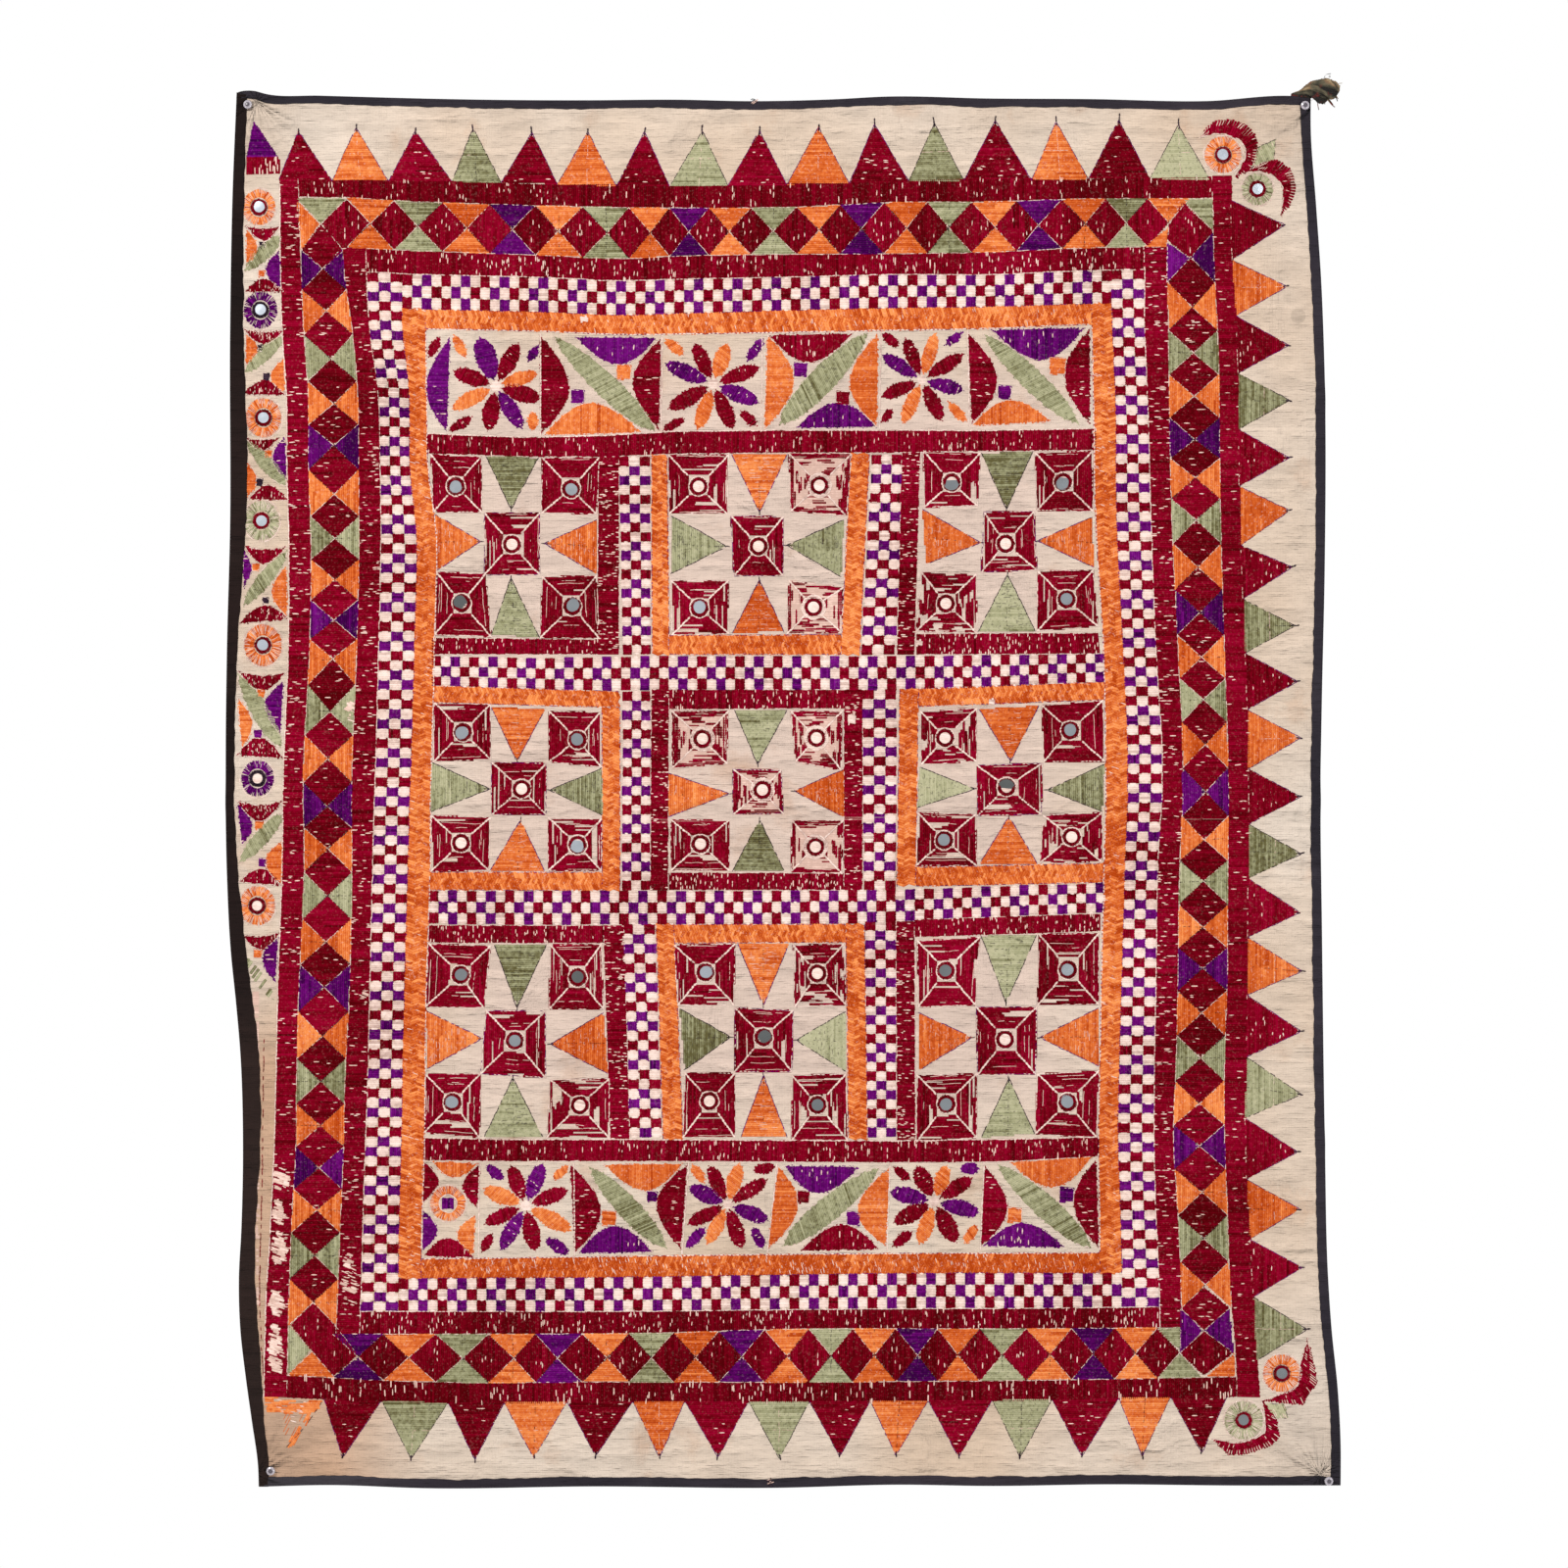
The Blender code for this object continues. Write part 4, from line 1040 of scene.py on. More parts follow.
def band(side, line):
    """Both edges of the band inside a border line, in millimetres. Its ends lie on one line or the next."""
    at = np.linspace(*line_span(side, line if upright(side) else line + 1), 120)
    return place(on_line(side, line, at)), place(on_line(side, line + 1, at))


SIDES = ("left", "right", "top", "bottom")


def upright(side):
    return side in ("left", "right")


def way_over(side):
    """The angle of lines that run across a side's bands."""
    return 0.0 if upright(side) else math.pi / 2


def loop(*lines):
    """A polygon from one line forward and the next one back."""
    return np.concatenate([lines[0], lines[1][::-1]])


def shrunk(polygon, by):
    """The polygon drawn in towards its middle by a few millimetres."""
    polygon = np.asarray(polygon, float)
    middle = polygon.mean(0)
    reach = np.linalg.norm(polygon - middle, axis=1, keepdims=True)
    return middle + (polygon - middle) * np.clip(1 - by / np.maximum(reach, 1e-6), 0.1, 1)


def red_band(work, edge_a, edge_b, across, density=0.55, length=(3.2, 6.9), shade=0.0):
    """A crimson band of stitches across it, with bare flecks in it."""
    work.between(edge_a, edge_b, CRIMSON, shade=shade)
    polygon = loop(edge_a, edge_b)
    work.flecks(polygon, across, density, near_edge=True, length=length)
    work.flecks(polygon, across, density * 0.6, length=length)


def faded(work, boxes, angle, worn, density):
    """Worn places where the bare cloth shows in patches and long flecks: low and high corners in steps."""
    for x0, y0, x1, y1 in boxes:
        y = (y0 + y1) / 2
        patch = corner_places(x0, y, x0 + 4, y0, x1 - 5, y0 + 2, x1, y, x1 - 3, y1, x0 + 3, y1 - 2)
        work.fill(patch, angle, BARE, longest=9, ragged=2.0, worn=worn, lift=FLECK_LIFT, height=0.2, shade=-0.15,
                  vary=0.25)
        work.flecks(patch, angle, density, length=(4.0, 9.0))


# The slanted rows of an orange band: from and to which share of the way across, and how far each row leans
SLANTED_ROWS = ((-0.02, 0.42, 3.6), (0.3, 0.7, -3.6), (0.58, 1.02, 3.6))


def herringbone(work, edge_a, edge_b, shade=0.0):
    """A band of three slanted orange rows that lean in turn, between two purple cords."""
    for low, high, lean in SLANTED_ROWS:
        work.between(edge_a, edge_b, ORANGE, gap=2.9, slant=lean, low=low, high=high, vary=0.26, shade=shade)
    for line in (edge_a, edge_b):
        work.cord(line, PURPLE, width=0.8, lift=1.15, gaps=0.3)


# How many cells a checker band has across
CELLS_ACROSS = 3


def checker(work, edge_a, edge_b, cell=10.9):
    """A band of small cells: raised cream rounds and flat crimson or purple ones in turn."""
    a = resample(edge_a, cell)
    b = points_at(edge_b, np.linspace(0, 1, len(a)))
    for i in range(len(a) - 1):
        for j in range(CELLS_ACROSS):
            corners = np.array([a[k] + (b[k] - a[k]) * share / CELLS_ACROSS
                                for k, share in ((i, j), (i, j + 1), (i + 1, j + 1), (i + 1, j))])
            half = np.abs(corners - corners.mean(0)).mean(0)
            if (i + j) % 2:
                middle = corners.mean(0) + work.rng.normal(0, 0.3, 2)
                work.tuft(middle, half[0] * 1.06, half[1] * 1.05)
            else:
                colour = PURPLE if (i // 2 + j) % 2 else CRIMSON
                work.fill(corners, 0.0 if work.rng.uniform() < 0.5 else math.pi / 2, colour, ragged=0.3)


# ------------------------------------------------------------------ embroidered parts

# Worn places of the two crimson bands at the lower left, and small holes: left, top, right and bottom in steps
OUTER_WORN = (
    (280, 1190, 297, 1214), (278, 1256, 294, 1290), (275, 1316, 291, 1342), (274, 1350, 290, 1400),
    (279, 1222, 292, 1248),
)
INNER_WORN = (
    (349, 1278, 366, 1332), (352, 700, 362, 742), (370, 1000, 376, 1030),
)
HOLES = (
    (592, 323, 600, 329), (865, 729, 873, 739), (935, 653, 941, 659), (1009, 713, 1015, 719),
)


def build_outer_red():
    work = Work(1)
    for side in SIDES:
        a, b = band(side, OUTER_RED)
        density = {"left": 0.8, "right": 0.3, "top": 0.55, "bottom": 0.7}[side]
        long = (4.5, 8.6) if side == "bottom" else (3.2, 6.9)
        red_band(work, a, b, way_over(side), density, long, 0.06 if upright(side) else -0.22)
        work.cord(b, width=0.9, gaps=0.45)
        if side == "left":
            work.cord(a, width=1.5, gaps=0.1)
    faded(work, OUTER_WORN, 0.3, 0.3, 5.0)
    return work.build("stitches_outer_red")


def build_diamonds():
    """The border of crimson diamonds between pairs of triangles."""
    work = Work(2)
    for side, (pattern, at) in CROSSINGS.items():
        at = np.array(at, float)
        first, last = at[0] - (at[1] - at[0]) / 2, at[-1] + (at[-1] - at[-2]) / 2
        edges = np.concatenate([[first], (at[1:] + at[:-1]) / 2, [last]])
        outer, inner = (place(on_line(side, line, edges)) for line in (DIAMONDS, INNER_RED))
        crossing = place((on_line(side, DIAMONDS, at) + on_line(side, INNER_RED, at)) / 2)
        angle = way_over(side)
        for i in range(len(at)):
            letter = pattern[i % len(pattern)]
            for line in (outer, inner):
                if line is inner and (side, i) in NO_INNER:
                    continue
                triangle = np.array([line[i], line[i + 1], crossing[i]])
                shade = work.rng.uniform(-0.2, 0.2) - 0.25 * (letter == "P")
                work.fill(triangle, math.pi / 2 - angle, LETTERS[letter], shade=shade)
                for end in (line[i], line[i + 1]):
                    pale = work.rng.uniform() < 0.6
                    work.cord([end, crossing[i]], CREAM if pale else DARK, width=0.8, lift=1.25, gaps=0.45, step=3.2)
                if letter == "G" or work.rng.uniform() < 0.3:
                    work.cord([(line[i] + line[i + 1]) / 2, crossing[i]], DARK, width=0.7, lift=1.15, gaps=0.4)
            if i:
                diamond = np.array([crossing[i - 1], outer[i], crossing[i], inner[i]])
                work.fill(diamond, angle, CRIMSON, shade=work.rng.uniform(-0.35, 0.1))
                work.flecks(shrunk(diamond, 4), angle, 0.6)
    for letter, degrees, *numbers in CORNER_PIECES:
        polygon = corner_places(*numbers)
        work.fill(polygon, math.radians(degrees), LETTERS[letter])
        work.outline(polygon, width=0.75, lift=1.25, gaps=0.6, step=3.2)
        if letter == "C":
            work.flecks(shrunk(polygon, 4), math.radians(degrees), 0.6)
    return work.build("stitches_diamond_border")


def build_inner_red():
    work = Work(3)
    for side in SIDES:
        a, b = band(side, INNER_RED)
        red_band(work, a, b, way_over(side), 1.0, shade=-0.18 if side == "bottom" else 0.0)
        work.cord(a, width=0.9, gaps=0.4)
        work.cord(b, width=1.2, gaps=0.15)
    faded(work, INNER_WORN, 0.4, 0.72, 3.5)
    return work.build("stitches_inner_red")


def build_checker_border():
    work = Work(4)
    for side in SIDES:
        checker(work, *band(side, CHECKERS))
    return work.build("stitches_checker_border")


def build_orange_band():
    work = Work(5)
    for side in SIDES:
        a, b = band(side, ORANGE_BAND)
        herringbone(work, a, b, -0.28 if side == "bottom" else 0.0)
        low, high = line_span(side, PANEL)
        work.cord(place(on_line(side, PANEL, np.linspace(low + 2, high - 2, 60))), width=1.6, gaps=0.1)
        work.flecks(loop(a, b), 0.3 if upright(side) else 1.3, 1.3 if side == "bottom" else 0.4, width=0.9)
    return work.build("stitches_orange_band")


def tooth(work, base_a, base_b, tip, letter, angle, tail):
    """One triangle of the outer edge, with its outline, seam and thread tail."""
    triangle = place([base_a, tip, base_b])
    colour = LETTERS[letter]
    if colour == GREEN:
        shade = work.rng.uniform(-0.35, 0.0) + (0.25 if angle == 0 else 0)
    else:
        shade = work.rng.uniform(-0.15, 0.15)
    work.fill(shrunk(triangle, 0.3), angle, colour, shade=shade)
    if colour == CRIMSON:
        work.flecks(shrunk(triangle, 5), angle, 0.7, length=(2.5, 6.5))
    work.cord(triangle, DARK if colour == GREEN else PURPLE, width=1.0, lift=1.0, gaps=0.15, step=3.6)
    middle = (triangle[0] + triangle[2]) / 2
    if colour == CRIMSON and angle:
        work.cord([triangle[0], triangle[2]], BARE, width=0.9, lift=1.2, gaps=0.5)
    if colour != CRIMSON:
        work.cord([middle, triangle[1]], BARE if work.rng.uniform() < 0.5 else DARK, width=0.6, lift=1.2, gaps=0.4)
        across = (triangle[0] + triangle[1]) / 2, (triangle[2] + triangle[1]) / 2
        work.cord(across, BARE, width=0.6, lift=1.2, gaps=0.5)
    beyond = triangle[1] + unit(triangle[1] - middle) * work.rng.uniform(*tail) + work.rng.normal(0, 0.8, 2)
    work.cord([triangle[1] - unit(triangle[1] - middle) * 5, beyond], DARK, width=1.7, lift=1.3, step=3.4, height=0.7)


def teeth(work, tips, letters, bases, angle, tail):
    """A row of teeth whose bases follow one another."""
    for tip, letter, a, b in zip(tips, letters, bases, bases[1:]):
        tooth(work, a, b, tip, letter, angle, tail)


def build_teeth():
    work = Work(6)
    teeth(work, TOP_TIPS, "COCG" * 4, TOP_BASES + np.array((0, 5)), 0.0, (2.5, 7.0))
    teeth(work, RIGHT_TIPS, "COCG" * 5, on_line("right", OUTER_RED, RIGHT_BASES) - (1.5, 0), math.pi / 2, (0.8, 4.0))
    teeth(work, BOTTOM_TIPS, "CGCOCOCGCOCGCOC", on_line("bottom", OUTER_RED, BOTTOM_BASES) - (0, 1.5), 0.0, (0.3, 1.6))
    # What is left of the worn tooth at the bottom left, then the small one at the top left
    for numbers, angle, gap, worn, shade in WORN_TOOTH:
        work.fill(corner_places(*numbers), angle, ORANGE, gap=gap, longest=9, ragged=2.0, worn=worn, shade=shade)
    work.fill(corner_places(276, 1440, 316, 1440, 298, 1474), 2.06, ORANGE, gap=3.4, width=0.8, longest=12, worn=0.62)
    work.cord(corner_places(329, 1430, 311, 1456, 293, 1476), DARK, width=0.7, lift=1.3, gaps=0.35)
    work.flecks(corner_places(271, 1426, 328, 1428, 300, 1450), 0.2, 4.0, length=(3, 7))
    work.fill(corner_places(252, 160, 259, 123, 284, 160), 0.0, PURPLE)
    strip = corner_places(252, 160, 285, 160, 286, 178, 252, 179)
    work.fill(strip, math.pi / 2, CRIMSON)
    work.flecks(strip, math.pi / 2, 7.0, length=(3, 9))
    return work.build("stitches_teeth")


# ------------------------------------------------------------------ the star blocks, in steps

# Each block: its five squares as four corners each (upper left, upper right, lower right, lower left), then its
# four triangles as both ends of the base and the tip, in the order top, left, right, bottom
BLOCKS = (
    (((441, 465, 492, 467, 492, 523, 443, 523), (554, 468, 612, 468, 609, 525, 553, 524),
      (495, 524, 551, 524, 551, 587, 495, 587), (446, 584, 496, 586, 502, 650, 444, 648),
      (554, 589, 609, 588, 612, 652, 552, 651)),
     ((497, 467, 550, 468, 522, 520), (444, 525, 446, 583, 491, 553), (609, 531, 609, 586, 556, 555),
      (502, 648, 551, 651, 522, 590))),
    (((682, 465, 744, 465, 742, 525, 683, 525), (805, 464, 869, 464, 863, 527, 807, 522),
      (746, 527, 799, 528, 799, 588, 749, 588), (685, 593, 743, 593, 744, 647, 686, 648),
      (805, 593, 860, 600, 859, 646, 803, 647)),
     ((747, 465, 803, 465, 775, 524), (685, 527, 685, 586, 742, 558), (861, 531, 858, 589, 803, 557),
      (748, 646, 800, 645, 775, 592))),
    (((942, 461, 1000, 463, 997, 516, 943, 518), (1056, 463, 1114, 461, 1115, 522, 1058, 521),
      (1004, 523, 1055, 522, 1058, 582, 1001, 584), (940, 584, 996, 586, 997, 646, 935, 644),
      (1059, 583, 1115, 582, 1120, 639, 1058, 644)),
     ((1001, 463, 1053, 462, 1027, 520), (941, 520, 945, 576, 1001, 554), (1114, 528, 1116, 579, 1058, 552),
      (998, 645, 1056, 644, 1028, 586))),
    (((444, 717, 501, 719, 501, 775, 443, 777), (561, 726, 613, 727, 614, 783, 561, 777),
      (502, 778, 558, 779, 558, 831, 502, 831), (441, 832, 501, 834, 499, 888, 440, 889),
      (560, 834, 614, 836, 614, 888, 560, 888)),
     ((502, 722, 557, 724, 528, 777), (441, 778, 441, 828, 501, 805), (615, 784, 616, 832, 561, 806),
      (501, 888, 556, 888, 532, 836))),
    (((686, 726, 743, 726, 742, 779, 686, 784), (807, 726, 859, 726, 858, 786, 812, 777),
      (748, 785, 797, 786, 799, 830, 748, 831), (685, 836, 744, 837, 744, 888, 685, 888),
      (808, 837, 860, 837, 859, 891, 807, 889)),
     ((750, 725, 803, 725, 773, 780), (683, 789, 683, 833, 745, 810), (861, 785, 861, 834, 810, 807),
      (748, 888, 800, 888, 775, 836))),
    (((939, 726, 996, 723, 996, 777, 940, 780), (1063, 720, 1125, 715, 1127, 777, 1065, 777),
      (997, 781, 1063, 779, 1062, 831, 997, 832), (936, 829, 995, 831, 996, 883, 935, 883),
      (1064, 832, 1124, 829, 1123, 879, 1061, 880)),
     ((999, 724, 1060, 720, 1031, 777), (939, 783, 935, 824, 995, 805), (1127, 780, 1124, 828, 1068, 806),
      (999, 882, 1058, 881, 1029, 833))),
    (((438, 963, 501, 965, 494, 1028, 435, 1027), (562, 964, 614, 963, 616, 1029, 561, 1029),
      (497, 1031, 557, 1031, 557, 1099, 491, 1095), (435, 1096, 491, 1095, 490, 1160, 434, 1155),
      (562, 1101, 622, 1100, 622, 1161, 558, 1160)),
     ((505, 964, 558, 964, 528, 1028), (435, 1031, 437, 1090, 493, 1059), (616, 1033, 621, 1095, 562, 1065),
      (495, 1159, 554, 1159, 524, 1099))),
    (((688, 964, 750, 963, 749, 1025, 692, 1025), (809, 964, 861, 963, 863, 1025, 811, 1027),
      (750, 1028, 809, 1031, 808, 1093, 750, 1093), (699, 1094, 750, 1095, 750, 1160, 697, 1160),
      (808, 1097, 863, 1096, 865, 1163, 808, 1163)),
     ((753, 963, 805, 963, 779, 1026), (694, 1029, 699, 1091, 746, 1058), (862, 1032, 863, 1093, 812, 1061),
      (756, 1160, 803, 1160, 779, 1097))),
    (((936, 960, 999, 956, 995, 1025, 937, 1027), (1060, 953, 1120, 952, 1120, 1024, 1058, 1025),
      (996, 1027, 1057, 1027, 1056, 1095, 997, 1096), (936, 1097, 996, 1095, 996, 1160, 935, 1165),
      (1058, 1095, 1120, 1092, 1118, 1160, 1056, 1156)),
     ((1001, 955, 1057, 954, 1026, 1023), (937, 1033, 937, 1092, 992, 1058), (1120, 1028, 1120, 1087, 1060, 1058),
      (1001, 1160, 1055, 1156, 1029, 1100))),
)
# The middles of the squares' rounds, block by block, and how worn each square is from 0 to 1
ROUNDS = (
    ((466, 497), (583, 500), (523, 556), (472, 616), (584, 619)),
    ((713, 497), (836, 496), (774, 558), (714, 621), (830, 620)),
    ((971, 493), (1084, 492), (1026, 555), (965, 616), (1088, 612)),
    ((473, 747), (590, 755), (533, 805), (471, 860), (590, 861)),
    ((717, 754), (833, 753), (778, 806), (715, 861), (832, 864)),
    ((964, 753), (1092, 745), (1027, 803), (963, 857), (1093, 854)),
    ((470, 995), (590, 997), (526, 1061), (462, 1124), (592, 1127)),
    ((720, 992), (834, 993), (779, 1058), (724, 1123), (834, 1127)),
    ((965, 990), (1089, 989), (1025, 1060), (965, 1126), (1088, 1124)),
)
WORN = (
    (0, 0, 0.1, 0, 0.05), (0.15, 0.62, 0.1, 0.25, 0.72), (0.05, 0.05, 0.15, 0.3, 0.05), (0.05, 0.2, 0.2, 0.15, 0.2),
    (0.55, 0.62, 0.52, 0.06, 0.66), (0.35, 0.1, 0.1, 0.15, 0.3), (0.05, 0.05, 0.1, 0.15, 0.2),
    (0.1, 0.3, 0.1, 0.15, 0.2), (0.1, 0.05, 0.05, 0.1, 0.05),
)

# Strips round the blocks: four corners each, in order round the strip from one long edge's start, then the colour
FRAMES = (
    (611, 466, 610, 668, 632, 668, 632, 466, "C"), (441, 651, 611, 653, 611, 668, 441, 668, "C"),
    (665, 465, 666, 668, 683, 668, 681, 465, "O"), (868, 464, 858, 668, 877, 668, 887, 464, "O"),
    (683, 649, 859, 648, 859, 668, 683, 668, "O"), (920, 462, 915, 668, 933, 668, 939, 462, "C"),
    (935, 647, 1120, 646, 1122, 667, 935, 668, "C"), (441, 700, 632, 706, 632, 722, 441, 717, "O"),
    (615, 722, 615, 908, 633, 908, 633, 722, "O"), (440, 890, 616, 890, 616, 908, 438, 908, "O"),
    (665, 704, 664, 908, 682, 908, 683, 704, "C"), (861, 704, 861, 908, 880, 908, 880, 704, "C"),
    (683, 704, 861, 704, 861, 723, 683, 724, "C"), (683, 890, 861, 891, 861, 908, 683, 908, "C"),
    (918, 704, 915, 904, 934, 902, 937, 702, "O"), (937, 703, 1127, 696, 1127, 714, 937, 721, "O"),
    (934, 885, 1127, 881, 1127, 900, 934, 904, "O"), (438, 944, 617, 944, 617, 962, 438, 962, "C"),
    (616, 944, 623, 1162, 643, 1162, 637, 944, "C"), (670, 943, 677, 1162, 697, 1162, 688, 943, "O"),
    (863, 943, 866, 1162, 885, 1162, 882, 943, "O"), (688, 943, 863, 943, 863, 961, 688, 962, "O"),
    (914, 940, 915, 1163, 934, 1163, 933, 940, "C"), (933, 938, 1122, 932, 1122, 950, 933, 956, "C"),
)
MIDDLE_BANDS = (
    (436, 443, 480, 445, 540, 447, 620, 445, 690, 441, 800, 440, 900, 440, 1010, 440, 1118, 438),
    (436, 464, 480, 465, 540, 467, 620, 467, 690, 464, 800, 463, 900, 463, 1010, 461, 1118, 460),
    (433, 1160, 520, 1162, 640, 1162, 760, 1163, 900, 1164, 1010, 1162, 1121, 1159),
    (432, 1183, 520, 1184, 640, 1184, 760, 1185, 900, 1186, 1010, 1185, 1121, 1179),
)
INSIDE_CHECKERS = (
    ((631, 467, 634, 560, 636, 668), (663, 467, 664, 560, 664, 668)),
    ((636, 706, 636, 760, 635, 908), (664, 706, 664, 760, 664, 908)),
    ((635, 943, 640.5, 1060, 642.6, 1160), (668.5, 943, 672, 1060, 675.8, 1160)),
    ((889, 465, 885, 560, 878.5, 668), (920, 465, 918.5, 560, 912.5, 668)),
    ((880, 704, 880, 750, 881, 908), (914, 704, 915, 750, 913, 908)),
    ((882.4, 940, 882.4, 990, 885, 1160), (914, 940, 914, 990, 914, 1160)),
    ((441, 670, 560, 672, 680, 670, 900, 670, 1000, 669, 1127, 667), (441, 700, 560, 704, 680, 704, 900, 704,
     1000, 702, 1127, 695)),
    ((438, 909, 560, 909, 760, 909, 900, 908, 1000, 905, 1127, 901), (438, 942, 560, 943, 760, 943, 900, 941,
     1000, 936, 1127, 931)),
)


# A star square's sides reach in to STAR_INNER of it. From VERY_WORN on, only its rim from STAR_RIM on is whole
STAR_INNER, STAR_RIM, VERY_WORN = 0.34, 0.84, 0.5
# Its rounds, in steps: the cream one, also where very worn, the crimson one's inside and outside, and a lost mirror's
CREAM_ROUND, WORN_ROUND, CRIMSON_ROUND, LOST_ROUND = 10.2, 12.4, (5.7, 9.3), 7.6


def star_square(work, quad, middle, lost, worn):
    """A square of four crimson sides round a mirror, with cream cords out to its corners."""
    if worn > VERY_WORN:
        work.fill(quad, 0.0, BARE, gap=2.7, longest=22, lift=0.8, height=0.15, shade=-0.5)
    middle = place(middle)
    inner, rim = (middle + (quad - middle) * share for share in (STAR_INNER, STAR_RIM))
    for k in range(4):
        after = (k + 1) % 4
        side = np.array([quad[k], quad[after], inner[after], inner[k]])
        angle = 0.0 if k % 2 == 0 else math.pi / 2
        if worn > VERY_WORN:
            work.fill([quad[k], quad[after], rim[after], rim[k]], angle, CRIMSON, gap=1.9, longest=16, worn=0.12)
        work.fill(side, angle, CRIMSON, longest=30 if worn < 0.3 else 14, worn=worn)
        # Bare slits along the side
        for share in work.rng.uniform(0.06, 0.8, work.rng.integers(1, 4)):
            a = side[0] + (side[3] - side[0]) * share
            b = side[1] + (side[2] - side[1]) * share
            low, high = work.rng.uniform(0.04, 0.5), work.rng.uniform(0.6, 0.96)
            work.cord([a + (b - a) * low, a + (b - a) * high], BARE, width=0.55, lift=1.3, step=6, gaps=0.15,
                      height=0.15)
        work.cord([quad[k], inner[k]], width=2.3, lift=1.35, step=4.2)
        work.cord([quad[k], quad[after]], width=1.1, lift=1.25, gaps=0.35)
    angles = np.arange(13) / 12 * math.tau + math.pi / 12
    cream = middle + on_circle(angles) * (CREAM_ROUND if worn < VERY_WORN else WORN_ROUND) * STEP
    work.fill(cream[:-1], 0.0, CREAM, gap=2.3, lift=1.1, height=0.25, shade=-0.15)
    work.cord(cream, width=1.7, lift=1.35, step=4.0)
    low, high = (radius * STEP for radius in CRIMSON_ROUND)
    work.ring(middle, low, high, CRIMSON, gap=1.5, lift=2.0, height=0.45, shade=-0.25, dive=1.7)
    if lost:
        work.fill(middle + on_circle(angles[:-1]) * LOST_ROUND * STEP, 0.2, CREAM, lift=1.4, height=0.3, shade=0.25)


def star_triangle(work, numbers, letter, angle, square_middle):
    triangle = a, b, tip = corner_places(*numbers)
    colour = LETTERS[letter]
    shade = work.rng.uniform(-0.3, 0.3) if colour == GREEN else work.rng.uniform(-0.15, 0.15)
    work.fill(shrunk(triangle, 0.4), angle, colour, shade=shade)
    work.flecks(shrunk(triangle, 5), angle, 2.2, DARK if colour == GREEN else BARE, length=(3, 8), width=0.45)
    work.cord([a, tip, b], DARK if colour == GREEN else PURPLE, width=1.1, lift=1.05, gaps=0.12)
    base = (a + b) / 2
    work.cord([base, tip], DARK, width=0.7, lift=1.05, gaps=0.45, wander=0.4)
    ends = tip - unit(tip - base) * 5, tip + unit(place(square_middle) - tip) * 3
    work.cord(ends, DARK, width=1.1, lift=1.1, step=3.5)


def build_blocks(row):
    """One row of three star blocks."""
    work = Work(20 + row)
    for column in range(3):
        block = row * 3 + column
        (squares, triangles), rounds = BLOCKS[block], ROUNDS[block]
        for corners, middle, wear in zip(squares, rounds, WORN[block]):
            star_square(work, corner_places(*corners), *nearest_mirror("square", middle), wear)
        work.outline(corner_places(*squares[2]), PURPLE, width=0.8, lift=1.35, gaps=0.35)
        letters = ("GOOG", "OGGO")[block % 2]
        for numbers, letter, angle in zip(triangles, letters, (0.0, math.pi / 2, math.pi / 2, 0.0)):
            star_triangle(work, numbers, letter, angle, rounds[2])
    return work.build(f"stitches_stars_row_{row + 1}")


def build_frames():
    """The strips round the blocks and the two crimson bands above and below them."""
    work = Work(30)
    for *numbers, letter in FRAMES:
        quad = corner_places(*numbers)
        edge_a, edge_b = resample(quad[:2], 10), resample(quad[[3, 2]], 10)
        tall = abs(quad[1, 1] - quad[0, 1]) > abs(quad[1, 0] - quad[0, 0])
        across = 0.0 if tall else math.pi / 2
        if letter == "C":
            red_band(work, edge_a, edge_b, across, density=1.8, length=(2.8, 5.4))
        else:
            herringbone(work, edge_a, edge_b)
        for line in (edge_a, edge_b):
            work.cord(line, width=0.9, lift=1.15, gaps=0.55)
    for k in (0, 2):
        a, b = corner_places(*MIDDLE_BANDS[k]), corner_places(*MIDDLE_BANDS[k + 1])
        red_band(work, resample(a, 8), resample(b, 8), math.pi / 2, density=0.9)
        work.cord(a, width=1.6, gaps=0.1)
        work.cord(b, width=0.9, gaps=0.4)
    for x0, y0, x1, y1 in HOLES:
        work.fill(corner_places(x0, y0, x1, y0, x1, y1, x0, y1), 0.2, CREAM, lift=1.5, height=0.2)
    return work.build("stitches_frames")


def build_inside_checkers():
    work = Work(31)
    for edge_a, edge_b in INSIDE_CHECKERS:
        checker(work, corner_places(*edge_a), corner_places(*edge_b), cell=10.7)
    return work.build("stitches_inside_checkers")


# ------------------------------------------------------------------ the flower panels and border motifs, in steps

# What lies further left or right than these belongs to the edges, and the rest to the panels
LEFT_PART, RIGHT_PART = 400, 1200

